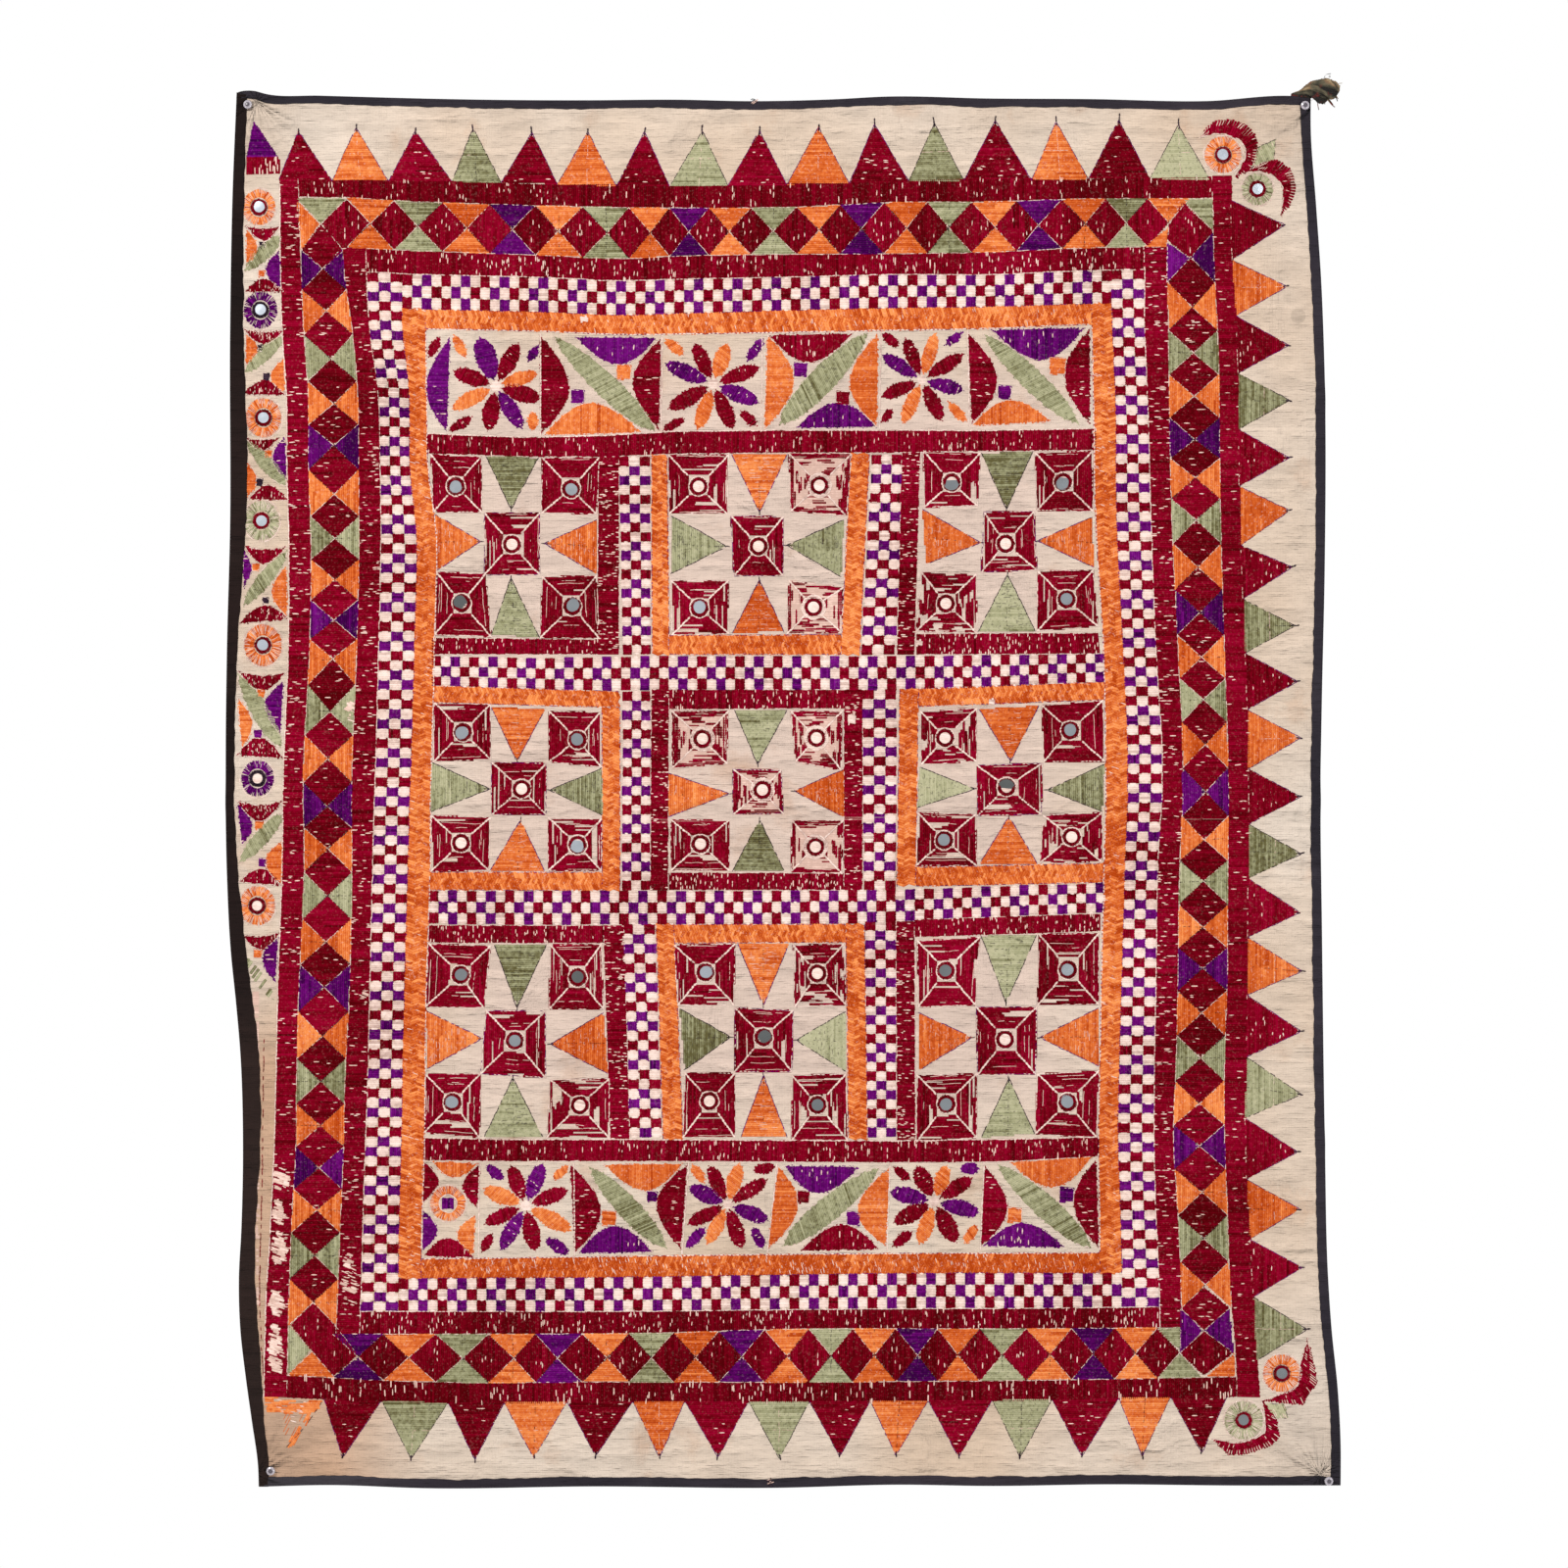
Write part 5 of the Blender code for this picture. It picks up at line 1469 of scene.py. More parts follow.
# Flowers: the middle, its radius, the petals' colours, then each petal's tip and width
FLOWERS = (
    ((506.3, 394.3), 8, "PCOCPCOC", ((489.3, 343.7, 20), (529.5, 350, 15), (548.6, 381.4, 13), (552.7, 408, 16),
     (533.6, 438.6, 15), (498, 441.1, 16), (461.9, 417.9, 14), (462.3, 379, 15))),
    ((728, 392.6), 8, "COCPCOCP", ((708.4, 350.3, 14), (742.6, 351.1, 15), (775.9, 375.5, 14), (775.1, 412.1, 15),
     (748.3, 439.8, 15), (711.7, 439.8, 14), (681.6, 418.6, 15), (678.4, 371.5, 15))),
    ((940.5, 388.5), 7, "COCPCOCP", ((923.1, 345.2, 13), (954.5, 339.8, 13), (983.8, 361.4, 13), (983.8, 399.4, 13),
     (961.1, 430.8, 14), (920.9, 433, 13), (898.8, 405.9, 13), (899.3, 362.5, 13))),
    ((537.1, 1229.2), 8, "CPCOCPCO", ((521.1, 1187.7, 15), (554.5, 1185.7, 15), (580.7, 1213.2, 14), (584, 1254.7, 15),
     (547.2, 1276.1, 16), (511, 1274.8, 14), (494.3, 1248, 13), (493.6, 1211.8, 15))),
    ((742.5, 1228.6), 6.5, "COCPCOCP", ((723.4, 1188.4, 14), (755, 1186.5, 14), (783.7, 1202.7, 13),
     (784.6, 1244.8, 14), (756.9, 1273.5, 15), (721.5, 1269.7, 13), (701.4, 1248.7, 13), (703.3, 1210.4, 15))),
    ((953.3, 1225.8), 8, "COCPCOCP", ((935, 1189.1, 16), (966.1, 1188.3, 14), (992.4, 1201.1, 14), (999.6, 1237, 15),
     (975.7, 1268.1, 17), (938.2, 1269.7, 14), (911.1, 1248.1, 15), (907.1, 1215.4, 15))),
)
# Leaves: both ends, width, colour
LEAVES = (
    (438, 366, 449, 344, 10, "C"), (463, 342, 476, 366, 10, "O"), (550, 351, 539, 370, 9, "P"),
    (458, 441, 483, 426, 10, "C"), (544, 420, 544, 440, 11, "O"), (678, 346, 698, 363, 10, "O"),
    (780, 345, 762, 370, 10, "P"), (676, 440, 699, 428, 9, "C"), (755, 420, 773, 436, 10, "C"),
    (899, 341, 917, 354, 10, "C"), (983, 339, 963, 354, 9, "P"), (899, 433, 910, 418, 9, "C"),
    (966, 410, 986, 431, 10, "O"), (497, 1188, 514, 1203, 11, "P"), (581, 1188, 565, 1203, 9, "O"),
    (492, 1277, 503, 1257, 10, "C"), (557, 1263, 581, 1278, 12, "P"), (706, 1187, 719, 1207, 10, "O"),
    (768, 1194, 791, 1190, 11, "C"), (699, 1273, 720, 1252, 11, "P"), (768, 1251, 779, 1274, 11, "P"),
    (911, 1190, 929, 1204, 10, "C"), (979, 1192, 999, 1192, 12, "P"), (910, 1272, 931, 1256, 11, "C"),
    (997, 1249, 984, 1268, 10, "O"), (565, 343, 670, 442, 23, "G"), (886, 340, 794, 436, 26, "G"),
    (1003, 341, 1101, 434, 22, "G"), (601, 1189, 681, 1274, 22, "G"), (898, 1191, 798, 1272, 24, "G"),
    (1016, 1186, 1114, 1273, 23, "G"), (250, 278, 288, 241, 15, "G"), (250, 382, 291, 343, 15, "G"),
    (251, 449, 294, 497, 15, "G"), (248, 620, 294, 562, 15, "G"), (243, 687, 288, 764, 18, "G"),
    (244, 881, 290, 829, 16, "G"),
)
# Bowed pieces: one end, the widest point, the other end, colour. The side opposite the bow is straight
BOWS = (
    (551, 341, 580, 405, 552, 445, "C"), (675, 345, 647, 382, 673, 441, "C"), (586, 344, 640, 371, 671, 345, "P"),
    (555, 445, 593, 413, 656, 442, "O"), (783, 343, 809, 380, 780, 440, "O"), (896, 340, 868, 401, 895, 437, "O"),
    (784, 343, 818, 370, 871, 341, "C"), (811, 438, 860, 412, 895, 437, "P"), (987, 340, 1017, 394, 991, 434, "C"),
    (1112, 335, 1086, 378, 1112, 435, "C"), (1010, 337, 1073, 366, 1107, 335, "P"),
    (991, 435, 1026, 409, 1073, 431, "O"), (432, 1183, 448, 1202, 432, 1227, "C"),
    (441, 1184, 464, 1201, 489, 1186, "O"), (491, 1187, 473, 1206, 488, 1232, "C"),
    (432, 1233, 447, 1258, 432, 1275, "P"), (486, 1238, 467, 1258, 484, 1281, "O"),
    (432, 1281, 458, 1262, 485, 1282, "C"), (582, 1186, 612, 1245, 587, 1278, "C"),
    (702, 1187, 671, 1222, 695, 1275, "C"), (616, 1187, 667, 1213, 697, 1187, "O"),
    (590, 1278, 625, 1250, 667, 1277, "P"), (794, 1189, 814, 1222, 783, 1275, "O"),
    (908, 1190, 880, 1250, 904, 1272, "O"), (800, 1189, 823, 1214, 878, 1190, "P"),
    (816, 1276, 866, 1250, 898, 1275, "C"), (1004, 1187, 1027, 1238, 1000, 1272, "C"),
    (1118, 1181, 1095, 1219, 1121, 1274, "C"), (1029, 1185, 1079, 1210, 1114, 1179, "O"),
    (1001, 1271, 1040, 1247, 1087, 1272, "P"), (460, 343, 437, 410, 457, 442, "P"), (253, 230, 270, 246, 285, 230, "C"),
    (252, 234, 263.5, 253, 252, 273, "O"), (286, 255, 272, 277, 288, 297, "P"), (253, 299, 270, 285, 288, 299, "C"),
    (251, 335, 268, 352, 290, 336, "C"), (252, 341, 264.5, 357, 252, 374, "O"), (291, 366, 277, 386, 292, 403, "O"),
    (251, 404, 270, 389, 290, 404, "C"), (253, 446, 268, 460, 285, 446, "C"), (292, 445, 279, 467, 294, 491, "P"),
    (252, 470, 263, 490, 252, 511, "O"), (257, 511, 271, 496, 293, 511, "C"), (252, 556, 266, 575, 291, 557, "C"),
    (249, 560, 257.5, 580, 249, 602, "P"), (293, 577, 278, 607, 294, 630, "O"), (247, 637, 274, 618, 293, 632, "C"),
    (245, 683, 270, 705, 290, 685, "C"), (290, 694, 271, 717, 287, 750, "P"), (243, 712, 258, 741, 247, 764, "O"),
    (244, 771, 262, 753, 287, 774, "C"), (245, 816, 263, 838, 287, 816, "C"), (243, 820, 258, 844, 247, 863, "P"),
    (289, 857, 271, 877, 288, 903, "O"), (247, 900, 268, 886, 287, 904, "C"), (250, 953, 264, 968, 285, 949, "C"),
    (285, 956, 269, 974, 282, 1003, "P"),
)
# Small squares: the middle, half the side, colour
PATCHES = (
    (637, 380, 7.5, "O"), (590, 405, 7, "P"), (817, 378, 7, "P"), (860, 407, 7, "C"), (1079, 374, 8.5, "O"),
    (1025, 401, 7, "P"), (622, 1242, 7.5, "O"), (666, 1220, 5.5, "P"), (820, 1221, 6.5, "C"), (871, 1243, 7, "P"),
    (1035, 1239, 7.5, "O"), (1088, 1218, 7.5, "P"), (268.5, 251, 3.6, "D"), (266.5, 356, 3.6, "D"),
    (273, 385, 3.8, "D"), (275, 464, 4, "O"), (266, 492, 3.8, "D"), (262, 579, 4, "O"), (272, 613, 3.6, "D"),
    (267, 707, 4, "O"), (264, 749, 4.5, "P"), (265, 842, 4.5, "O"), (268.5, 880, 4.5, "P"), (264, 973, 4.5, "O"),
    (268, 280, 3.6, "O"),
)
# Rosettes: the middle, outer radius, colour, and the share of stitches that is worn away
ROSETTES = (
    (264.8, 212.3, 17.5, "O", 0.1), (266.6, 317.2, 18, "P", 0.1), (269.7, 427, 19, "O", 0.0),
    (267.7, 531.8, 19, "G", 0.05), (269, 658.6, 20, "O", 0.0), (263.2, 794.3, 17.5, "P", 0.15),
    (263, 924, 19, "O", 0.1), (1247.7, 158.5, 19.5, "O", 0.0), (1282.5, 193.5, 17, "G", 0.0),
    (1307, 1400.6, 20, "O", 0.0), (1268.4, 1448.5, 20.5, "G", 0.0),
)
# Crescents round the corner flowers: the inner edge, then the outer one
CRESCENTS = (
    ((1224, 141, 1237, 137, 1250, 137, 1265, 143, 1270.5, 152, 1270, 163, 1264, 174, 1259, 180), (1224, 142, 1230, 131,
     1239, 124, 1256, 122, 1271, 127, 1280, 137, 1283, 150, 1282, 163, 1274, 175, 1261, 183)),
    ((1271, 177, 1284, 175, 1297, 178, 1305, 185, 1309, 194, 1309, 204, 1306, 218), (1271, 174, 1284, 170, 1294, 164,
     1304, 163, 1315, 171, 1321, 182, 1322, 194, 1318, 207, 1307, 223)),
    ((1333.5, 1365, 1330, 1379, 1326, 1392, 1324, 1414, 1307, 1422, 1286, 1428), (1333.5, 1364, 1338, 1379, 1341, 1394,
     1344, 1411, 1336, 1422, 1330, 1433, 1309, 1431, 1286, 1429)),
    ((1287, 1429, 1290, 1444, 1291, 1461, 1277, 1469, 1260, 1472, 1236, 1467), (1288, 1429, 1295, 1436, 1303, 1450,
     1305, 1466, 1297, 1475, 1275, 1483, 1254, 1485, 1244, 1475, 1236, 1468)),
)
CORNER_KITES = (
    (1282, 152, 1301, 143, 1299, 164, 1288, 166, 1276, 172, 1280, 162),
    (1291, 1431, 1309, 1432, 1314, 1446, 1301, 1446, 1295, 1438),
)
# The upright cords between the panels' cells: both ends
CELL_CORDS = (
    (552, 341, 552, 445), (676, 341, 675, 443), (778, 341, 777, 443), (899, 340, 897, 438), (987, 338, 989, 436),
    (490, 1186, 489, 1282), (586, 1186, 587, 1280), (703, 1186, 696, 1279), (793, 1187, 783, 1278),
    (908, 1187, 905, 1276), (1004, 1185, 1000, 1275),
)
# How strongly a bowed piece's curve is drawn to its pull point
BOW_PULL = 1.6


def leaf(a, b, width):
    """A pointed leaf between two points."""
    a, b = np.asarray(a, float), np.asarray(b, float)
    t = np.linspace(0, 1, 9)[:, None]
    aside = np.array([-(b - a)[1], (b - a)[0]]) / max(np.linalg.norm(b - a), 1e-6) * width / 2
    bow = np.sin(math.pi * t**1.1) ** 0.56
    line = a + (b - a) * t
    return np.concatenate([line + aside * bow, (line - aside * bow)[-2:0:-1]])


def bowed(a, widest, b, hollow=0.0):
    """A piece bowed out to its widest point on one side; the other side is straight, or hollow."""
    a, widest, b = (np.asarray(p, float) for p in (a, widest, b))
    share = float(np.clip(np.dot(widest - a, b - a) / np.dot(b - a, b - a), 0.25, 0.75))
    full = 2 * BOW_PULL * share * (1 - share)
    pull = (widest * ((1 - share) ** 2 + full + share**2) - (1 - share) ** 2 * a - share**2 * b) / full
    t = np.linspace(0, 1, 13)[:, None]
    weights = (1 - t) ** 2, 2 * BOW_PULL * t * (1 - t), t**2
    curve = (weights[0] * a + weights[1] * pull + weights[2] * b) / sum(weights)
    chord = a + (b - a) * t
    return np.concatenate([curve, (chord + (curve - chord) * hollow)[-2:0:-1]])


def leaf_shape(work, a, b, width, letter):
    polygon = leaf(place(a), place(b), width * STEP)
    along = math.atan2(b[1] - a[1], b[0] - a[0])
    colour = LETTERS[letter]
    slant = along + math.pi / 2 + (0.35 if letter in "GO" else 0.12)
    work.fill(polygon, slant, colour, gap=1.8, ragged=1.1, shade=0.12 if colour == ORANGE else 0.0)
    if colour in (CRIMSON, PURPLE):
        work.flecks(shrunk(polygon, 3), slant, 1.0, width=1.1, length=(2, 3.6))
    work.outline(polygon, width=0.8, lift=1.0, gaps=0.45, height=0.3)


def build_flower_panels():
    work = Work(40)
    for (x, y), radius, letters, petals in FLOWERS:
        for letter, (tip_x, tip_y, width) in zip(letters, petals):
            reach = math.hypot(tip_x - x, tip_y - y)
            root = (x + (tip_x - x) * radius * 0.7 / reach, y + (tip_y - y) * radius * 0.7 / reach)
            leaf_shape(work, root, (tip_x, tip_y), width * 1.12, letter)
        middle = place((x, y))
        work.fill(middle + leaf((-radius, 0), (radius, 0), radius * 1.9) * 0.8, 0.0, CREAM, gap=1.9)
    leaves_and_bows(work, True, 1.05)
    patches(work, True)
    rosette(work, 458, 1227, 18.7, "O", 0.0, hole=8.5, square=True)
    for numbers in CELL_CORDS:
        work.cord(corner_places(*numbers), width=1.6)
    return work.build("stitches_flower_panels")


def leaves_and_bows(work, inside, widen):
    """The leaves and bowed pieces in the flower panels, or else those near the edges."""
    for *ends, width, letter in LEAVES:
        if (LEFT_PART < ends[0] < RIGHT_PART) == inside:
            leaf_shape(work, ends[:2], ends[2:], width * widen, letter)
    for *points, letter in BOWS:
        if (LEFT_PART < points[0] < RIGHT_PART) == inside:
            bow_shape(work, points[:2], points[2:4], points[4:], letter)


def patches(work, inside):
    """The small squares in the flower panels, or else those of the left edge."""
    for x, y, half, letter in PATCHES:
        if (x > LEFT_PART) == inside:
            x0, y0, x1, y1 = x - half, y - half, x + half, y + half
            square = corner_places(x0, y0, x1, y0 + 1, x1 - 1, y1, x0, y1)
            work.fill(square, 0.1, LETTERS[letter])
            work.outline(square, width=0.9, lift=1.2, gaps=0.4)


def bow_shape(work, a, widest, b, letter):
    at_edge = letter == "C" and a[0] < LEFT_PART
    hanging = at_edge and widest[1] > a[1] + 5
    if at_edge:
        a, b = (a[0] - 3, a[1]), (b[0] + 3, b[1])
    ends = place(a), place(widest), place(b)
    if at_edge:
        work.flecks(shrunk(bowed(*ends), 2), math.pi / 2, 5.0, length=(1.8, 3.2), width=0.8)
    polygon = bowed(*ends, 0.25 if hanging else 0.0)
    angle = 0.0 if abs(b[1] - a[1]) > abs(b[0] - a[0]) else math.pi / 2
    work.fill(polygon, angle, LETTERS[letter], gap=1.9, ragged=1.1)
    if letter in "CP":
        work.flecks(shrunk(polygon, 4), angle, 0.8)
    work.outline(polygon, width=0.9, lift=1.2, gaps=0.4, step=3.4)


def rosette(work, x, y, radius, letter, worn, hole=8.0, square=False):
    """A ring of outward stitches round a small mirror in its own dark ring."""
    middle = place((x, y))
    colour = LETTERS[letter]
    tall, shade = 1.1 if x < LEFT_PART else 1.0, -0.25 if letter == "P" else 0.15
    work.ring(middle, (hole + 0.6) * STEP, (radius - 0.5) * STEP, colour, worn=worn * 0.5, shade=shade, vary=0.3,
              tall=tall)
    for low, high in ((hole + 2, radius - 3), (hole + 5, radius + 1), (radius - 4, radius + 1)):
        work.ring(middle, low * STEP, high * STEP, CREAM, gap=1.9, worn=0.8 if letter == "P" else 0.55, lift=FLECK_LIFT,
                  height=0.12, dive=1.15, width=0.55, tall=tall)
    circle = on_circle(np.linspace(0, math.tau, 25))
    work.cord(middle + circle * (1.0, tall) * (radius + 0.6) * STEP, width=1.2, lift=0.95, gaps=0.3)
    if square:
        work.cord(middle + circle * (hole + 0.7) * STEP, width=1.6, lift=1.2)
        half = 5.6 * STEP
        work.fill(middle + np.array([(-half, -half), (half, -half), (half, half), (-half, half)]), math.pi / 2, PURPLE)
    else:
        work.ring(middle, 5.2 * STEP, (hole + 0.6) * STEP, DARK if letter == "P" else CRIMSON, gap=1.4, lift=2.0,
                  shade=-0.2, dive=1.7)


def build_edge_motifs():
    """The rosettes, crescents and leaves down the left edge and in the two right corners."""
    work = Work(41)
    for x, y, radius, letter, worn in ROSETTES:
        at, lost = nearest_mirror("border", (x, y))
        rosette(work, *at, radius, letter, worn, hole=8.2)
        if lost:
            hollow = place(at) + on_circle(np.arange(10) / 10 * math.tau) * 6.0 * STEP
            work.fill(hollow, 0.1, CREAM, gap=2.1, shade=0.2)
    leaves_and_bows(work, False, 1.0)
    for inner, outer in CRESCENTS:
        inner, outer = (resample(corner_places(*line), 3) for line in (inner, outer))
        work.between(inner, outer, CRIMSON, ragged=0.9)
        for low, high, worn in ((0.2, 0.42, 0.72), (0.62, 0.95, 0.42)):
            work.between(inner, outer, BARE, gap=2.3, low=low, high=high, worn=worn, width=0.8, slant=1.5,
                         lift=FLECK_LIFT, height=0.15, dive=1.15)
        work.cord(inner, width=1.1, lift=1.2, gaps=0.3)
    for corners in CORNER_KITES:
        polygon = corner_places(*corners)
        work.fill(polygon, 1.1, GREEN, shade=0.3)
        work.flecks(polygon, 1.1, 3.5, width=0.8)
        work.outline(polygon, DARK, width=0.7, lift=1.1, gaps=0.35)
    patches(work, False)
    # What is left of the worn leaf and of the red traces beside the binding
    work.fill(place(leaf((250, 975), (280, 1020), 11)), 2.2, GREEN, worn=0.55, gap=2.2)
    work.fill(corner_places(258, 1012, 265, 1012, 266, 1330, 261, 1330), 0.0, BARE, gap=2.4, worn=0.3, lift=0.8,
              height=0.15, shade=-0.5)
    # Knots where the bindings are sewn at the middle of the top and the bottom
    for x, y in ((770, 105), (786, 1510)):
        for turn in work.rng.uniform(0, math.pi, 7):
            out = on_circle(turn) * work.rng.uniform(2.0, 4.5)
            at = place((x, y)) + work.rng.normal(0, 1.5, 2)
            work.stitch(at - out, at + out, DARK if turn < 2.5 else BARE, width=0.9, lift=2.3, height=0.3, dive=2.0)
    traces = corner_places(270, 1060, 269, 1190, 267, 1262, 265.5, 1336, 270, 1420)
    work.cord(traces, CRIMSON, width=1.2, lift=1.0, gaps=0.3)
    return work.build("stitches_edge_motifs")


# ------------------------------------------------------------------ the rag

# The rag's middle line from its thin end to its frayed head: across, height, off the wall, radius
RAG = (
    (570.0, 7.6, 2.6, 1.4), (576.5, 8.4, 3.4, 3.2), (582.5, 10.0, 4.2, 5.4), (588.0, 12.0, 5.0, 8.2),
    (594.0, 12.6, 5.8, 11.2), (600.5, 11.8, 7.4, 13.2), (607.5, 11.8, 8.6, 14.4), (614.0, 11.4, 7.8, 12.0),
    (619.5, 11.8, 6.8, 8.0), (623.5, 12.8, 5.6, 3.5),
)
# How deep the rag is for its width, its points along and round it, and those along a loose end
RAG_DEPTH = 0.55
RAG_RINGS, RAG_SIDES = 90, 72
RAG_END_STATIONS = 9
# Loose ends of the rag: where each starts and ends, across and height
RAG_ENDS = (
    (612, 3, 619, -4), (604, 2, 602, -5), (618, 8, 626, 2), (619, 14, 627, 17), (610, 23, 614, 28), (598, 4, 590, -3),
)

# The rag's colours from dark to pale, picked by its blotches and by painted shade in its tone, and the small red
# blotches over them
RAG_STOPS = (
    (0.3, (26, 22, 20)), (0.42, (62, 58, 44)), (0.52, (98, 90, 70)), (0.6, (128, 98, 72)), (0.7, (158, 140, 106)),
)
RAG_RED = (112, 38, 32)


def rag_material():
    material, shader, n = new_material("faded_rag", Roughness=0.95)
    where = n.where()
    blotch = n.math("SUBTRACT", n.noise(where, 62.0, 3.0), 0.2)
    # Blotches and the painted shade of the tone pick a colour from dark to pale
    faded = n.ramp(n.math("MULTIPLY_ADD", n.tone(), 0.45, blotch), *RAG_STOPS)
    red = n.spread(n.noise(where, 130.0, 2.0), 0.56, 0.74)
    n.give(shader.inputs["Base Color"], n.mix(red, faded, opaque(*RAG_RED)))
    n.give(shader.inputs["Normal"], n.bump(0.7, 0.0008, n.noise(where, 700.0, 2.0)).outputs[0])
    return material


def build_rag():
    """A crumpled twist of cloth with deep creases round it, and loose threads from its ends."""
    rng = np.random.default_rng(SEED + 500)
    table = np.array(RAG)
    at = np.linspace(0, len(table) - 1, RAG_RINGS)
    line = np.stack([reading(np.stack([np.arange(len(table)), table[:, k]], axis=-1), at) for k in range(4)], axis=-1)
    share = np.linspace(0, 1, RAG_RINGS)[:, None]
    angle = np.linspace(0, math.tau, RAG_SIDES, endpoint=False)[None, :]
    twist = angle + 3.2 * share
    # Deep creases that turn with the twist, fine ones across it, and sharp valleys
    crease = 0.2 * np.sin(5 * twist) + 0.11 * np.sin(9 * twist + 9 * share) + 0.08 * np.sin(23 * angle + 31 * share)
    crease = crease - 0.1 * np.abs(np.sin(3.5 * twist - 5 * share))
    radius = np.maximum(line[:, 3:4], 0.6) * (0.84 + crease)
    x = line[:, 0:1] + 0.35 * radius * np.sin(angle + 1.0) * 0.6
    z = line[:, 1:2] + radius * np.sin(angle)
    y = line[:, 2:3] + radius * RAG_DEPTH * np.cos(angle)
    verts = np.stack([x + 0 * angle, -np.maximum(y, 0.5), z], axis=-1).reshape(-1, 3) * MM
    faces = [tube_faces(RAG_RINGS, RAG_SIDES)]
    # Painted shade, darker in the creases' valleys and lighter on the upper side; also darker towards the thin end
    tones = [np.clip(0.42 + 0.9 * crease + 0.3 * np.sin(angle) - 0.4 * (1 - share) ** 2, 0, 1).ravel()]
    uv = [np.stack(np.broadcast_arrays(share, angle / 7), axis=-1).reshape(-1, 2)]
    parts, first = [verts], len(verts)
    for n, (ax, az, bx, bz) in enumerate(RAG_ENDS * 2):
        t = np.linspace(0, 1, RAG_END_STATIONS)[:, None]
        start = np.array([ax, -6.0, az]) + rng.normal(0, 2.0, 3) * (1, 0.5, 1)
        end = np.array([bx, -5.0, bz]) + rng.normal(0, 2.2, 3) * (1, 1, 1)
        bend = np.array([rng.normal(0, 3), rng.normal(0, 1), rng.normal(0, 3)])
        path = start + (end - start) * t + bend * np.sin(math.pi * t) * t
        path[:, 1] = np.minimum(path[:, 1], -0.6)
        wide = np.array([0.6, 0.0, 0.6]) * (1 - 0.4 * t)
        strip = np.stack([path - wide, path + (0, -0.35, 0), path + wide], axis=1).reshape(-1, 3) * MM
        parts.append(strip)
        faces.append(first + strip_faces(RAG_END_STATIONS))
        tones.append(np.full(len(strip), rng.uniform(0.2, 0.9)))
        uv.append(np.stack(np.broadcast_arrays(t, np.array([1.0, 1.005, 1.01]) + 0.012 * n), axis=-1).reshape(-1, 2))
        first += len(strip)
    mesh = array_mesh("tied_rag", np.concatenate(parts), np.concatenate(faces))
    add_tone(mesh, np.concatenate(tones))
    flat_map(mesh, np.concatenate(uv))
    return add_piece("tied_rag", mesh, [rag_material()], ["corner_rag"])


# ------------------------------------------------------------------ stage

CAMERA_AT = (0.0011, -4.156, -0.7656)
FLOOR_HEIGHT = -2.6
FLOOR_HALF = 3.0
# Soft lights: place, size, share of the key light's power, tint. Both look at one point
LIGHTS = {
    "key_light": ((-2.2, -3.9, 1.5), 1.1, 1.0, (1.0, 0.985, 0.96)),
    "fill_light": ((2.8, -3.9, -0.6), 2.2, 0.47, (0.97, 0.985, 1.0)),
}
LIGHTS_AIM = (0.0, 0.0, -0.78)


def build_stage():
    """A camera face on, a white room, soft lights and a pale floor below the hanging."""
    scene, camera = bpy.context.scene, bpy.data.cameras.new("camera")
    camera.lens, camera.sensor_width = 85.0, 36.0
    scene.camera = add_object("camera", camera)
    scene.camera.location = CAMERA_AT
    scene.camera.rotation_euler = (math.pi / 2, 0, 0)

    h = FLOOR_HALF
    corners = np.array([(x, y, FLOOR_HEIGHT) for x, y in ((-h, -h), (h, -h), (h, h), (-h, h))])
    mesh = array_mesh("floor", corners, np.array([[0, 1, 2, 3]]), smooth=False)
    mesh.materials.append(new_material("pale_floor", Base_Color=(0.8, 0.8, 0.79, 1), Roughness=0.8)[0])
    add_object("floor", mesh)

    for name, (place_at, size, share, tint) in LIGHTS.items():
        light = bpy.data.lights.new(name, "AREA")
        light.size, light.energy, light.color = size, settings().key_power * share, tint
        lamp = add_object(name, light)
        lamp.location = place_at
        aim = np.array(LIGHTS_AIM) - place_at
        lamp.rotation_euler = (math.acos(-aim[2] / np.linalg.norm(aim)), 0, math.atan2(aim[1], aim[0]) - math.pi / 2)

    world = bpy.data.worlds.new("white_room")
    world.use_nodes = True
    n = Nodes(world.node_tree)
    n.tree.nodes.clear()
    cast = n.add("Background", (1.0, 0.99, 0.975, 1), settings().room_light)
    seen = n.add("Background", (1, 1, 1, 1), 1.0)
    rays = n.add("LightPath").outputs["Is Camera Ray"]
    n.add("OutputWorld", n.add("MixShader", rays, cast.outputs[0], seen.outputs[0]).outputs[0])
    scene.world = world
    scene.view_settings.view_transform = "Standard"


# ------------------------------------------------------------------ settings, operators and panel

def colour(name, text, *screen):
    """A colour setting whose default is an 8-bit screen colour."""
    return FloatVectorProperty(name=name, description=text, subtype="COLOR", size=3, min=0, max=1,
                               default=linear(*screen))


def thread_colour(name, *screen):
    return colour(f"{name} thread", f"Middle colour of the {name.lower()} thread", *screen)


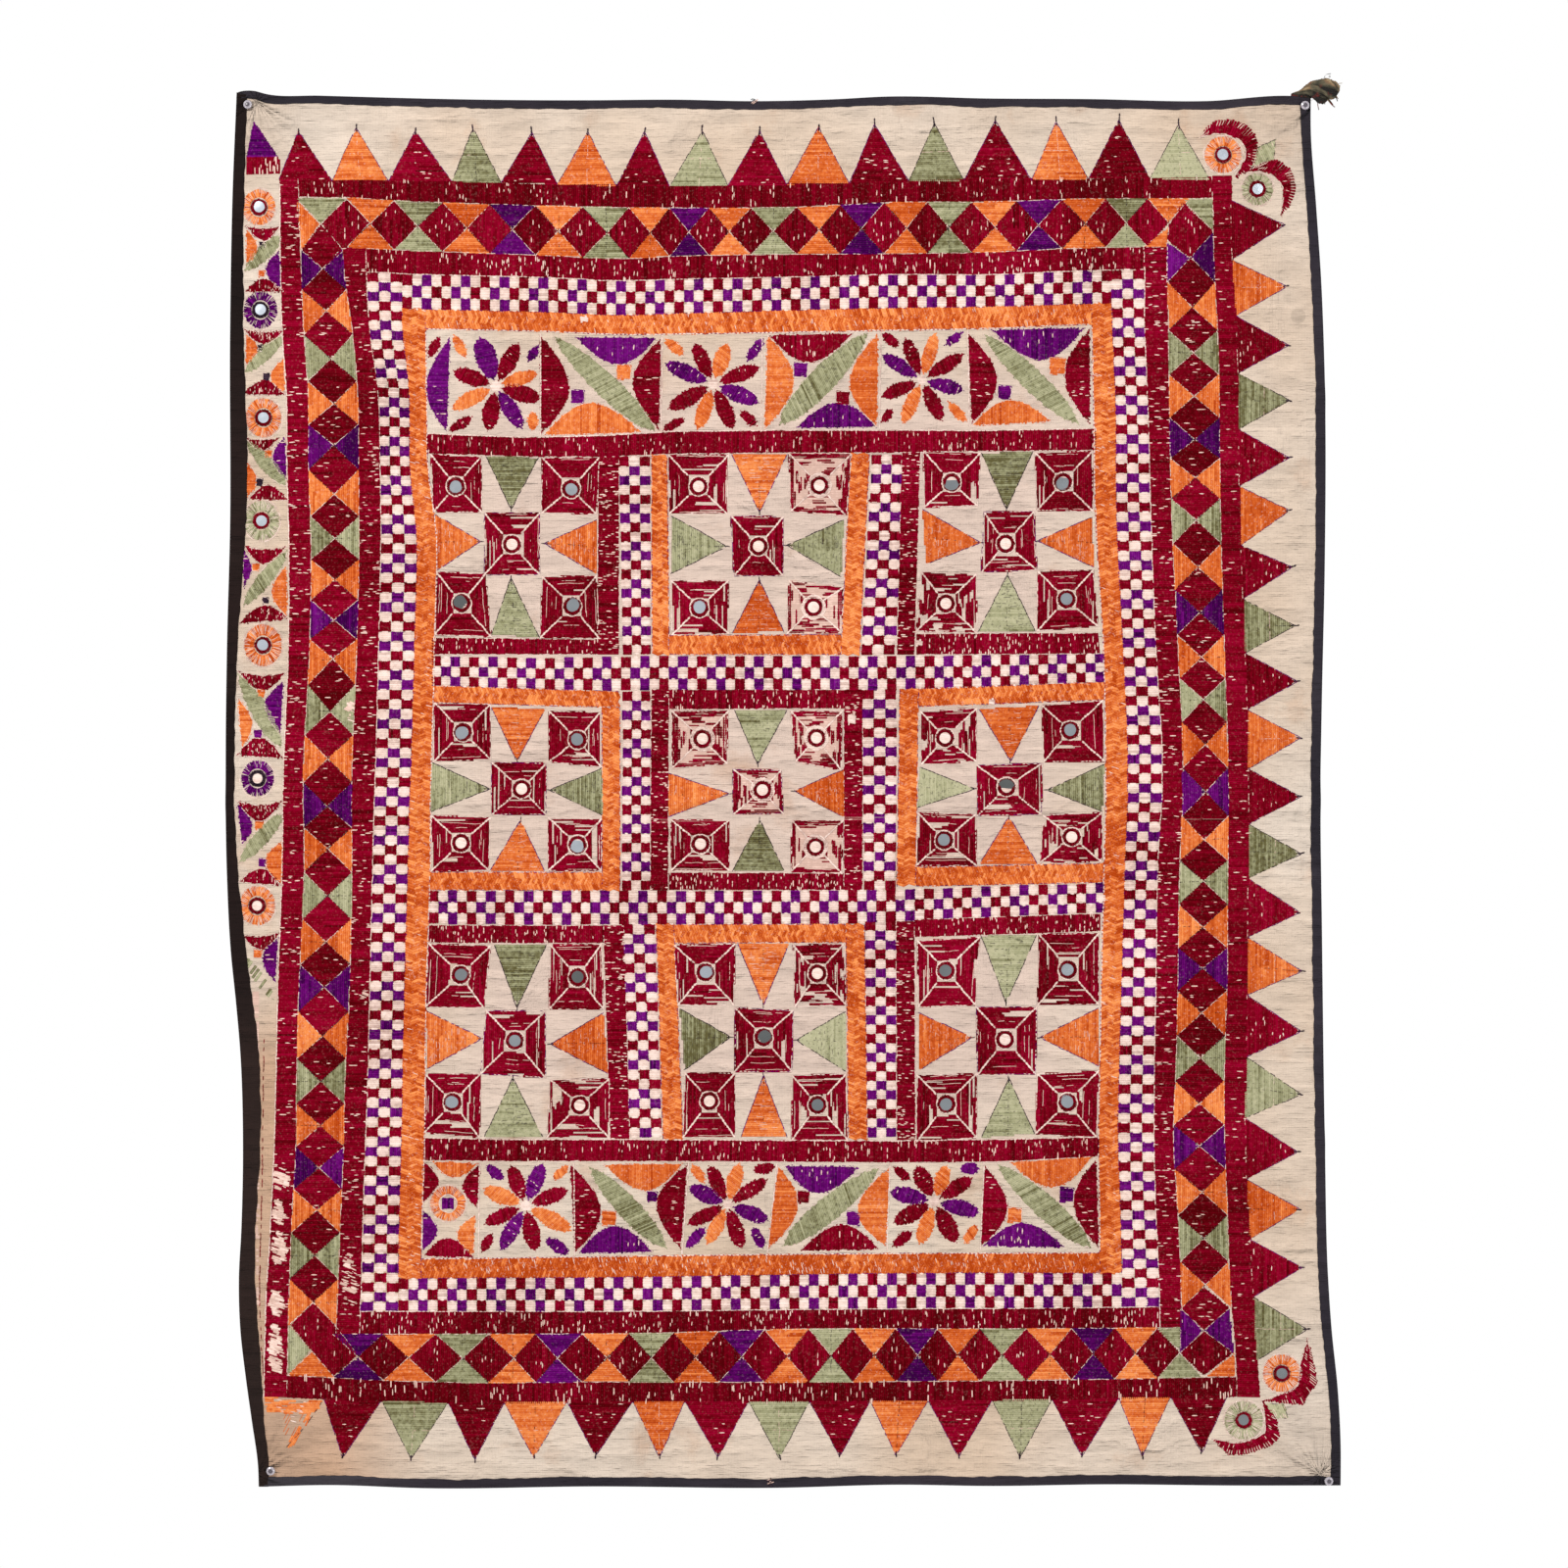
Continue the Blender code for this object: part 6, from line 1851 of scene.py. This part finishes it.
class HangingSettings(PropertyGroup):
    crimson_thread: thread_colour("Crimson", 117, 0, 21)
    orange_thread: thread_colour("Orange", 210, 101, 44)
    green_thread: thread_colour("Green", 154, 153, 118)
    bare_thread: thread_colour("Bare cloth", 236, 200, 186)
    purple_thread: thread_colour("Purple", 94, 4, 98)
    cream_thread: thread_colour("Cream", 230, 203, 191)
    dark_thread: thread_colour("Dark", 44, 30, 42)
    ground_colour: colour("Cotton", "Colour of the plain cream cotton", 222, 206, 191)
    binding_colour: colour("Binding", "Colour of the three charcoal bindings", 38, 34, 42)
    key_power: FloatProperty(name="Key light", description="Power of the key light in watts", default=134.0, min=0.0)
    room_light: FloatProperty(name="Room light", description="Light from all round", default=0.55, min=0.0)


def operator(identifier, label, text, *builders):
    """An operator class that runs the builders."""
    def execute(self, context):
        for builder in builders:
            builder()
        return {"FINISHED"}
    return type(f"HANGING_OT_{identifier}", (Operator,), {
        "bl_idname": f"hanging.{identifier}", "bl_label": label, "__doc__": text, "bl_options": {"REGISTER", "UNDO"},
        "execute": execute})


def star_rows():
    for row in range(3):
        build_blocks(row)


def gather_cloth():
    """Says that the ground is a sheet of cloth, and which pieces lie on it."""


OPERATORS = (
    operator("ground", "Cloth", "Build the cream cotton sheet in its hanging folds", build_ground),
    operator("bindings", "Bindings", "Build the four dark strips folded round the edges",
             *[(lambda side=side: build_binding(side)) for side in SIDES]),
    operator("red_borders", "Crimson borders", "Sew the two crimson bands", build_outer_red, build_inner_red),
    operator("diamonds", "Diamond border", "Sew the border of diamonds and triangle pairs", build_diamonds),
    operator("checkers", "Checkers", "Sew the checker border and the checkers between the blocks",
             build_checker_border, build_inside_checkers),
    operator("orange_band", "Orange band", "Sew the slanted orange band round the middle", build_orange_band),
    operator("teeth", "Teeth", "Sew the triangles along three edges", build_teeth),
    operator("stars", "Star blocks", "Sew the nine star blocks", star_rows),
    operator("frames", "Frames", "Sew the strips round the blocks and the two middle bands", build_frames),
    operator("flowers", "Flower panels", "Sew the flowers and long leaves of both panels", build_flower_panels),
    operator("edge_motifs", "Edge motifs", "Sew the rosettes, crescents and leaves near the edges", build_edge_motifs),
    operator("mirrors", "Mirrors", "Lay the round mirror glasses in their rings", build_mirrors),
    operator("rag", "Rag", "Build the rag tied at the top right corner", build_rag),
    operator("pins", "Push pins", "Give the four push pins their plastic and steel", build_pins),
    operator("gather", "Cloth and its pieces", "Name the sheet and everything that lies on it", gather_cloth),
    operator("stage", "Stage", "Set the camera, the lights, the white room and the floor", build_stage),
)


class HANGING_PT_panel(Panel):
    """Lists the hanging's pieces and settings"""
    bl_idname = "HANGING_PT_panel"
    bl_label = "Wall hanging"
    bl_space_type = "VIEW_3D"
    bl_region_type = "UI"
    bl_category = "Hanging"

    def draw(self, context):
        for name in HangingSettings.__annotations__:
            self.layout.prop(context.scene.hanging, name)
        for cls in OPERATORS:
            self.layout.operator(cls.bl_idname)


CLASSES = (HangingSettings, *OPERATORS, HANGING_PT_panel)


def register():
    for cls in CLASSES:
        bpy.utils.register_class(cls)
    bpy.types.Scene.hanging = PointerProperty(type=HangingSettings)


def unregister():
    del bpy.types.Scene.hanging
    for cls in reversed(CLASSES):
        bpy.utils.unregister_class(cls)


def main():
    register()
    for cls in OPERATORS:
        section, name = cls.bl_idname.split(".")
        getattr(getattr(bpy.ops, section), name)()


if __name__ == "__main__":
    main()
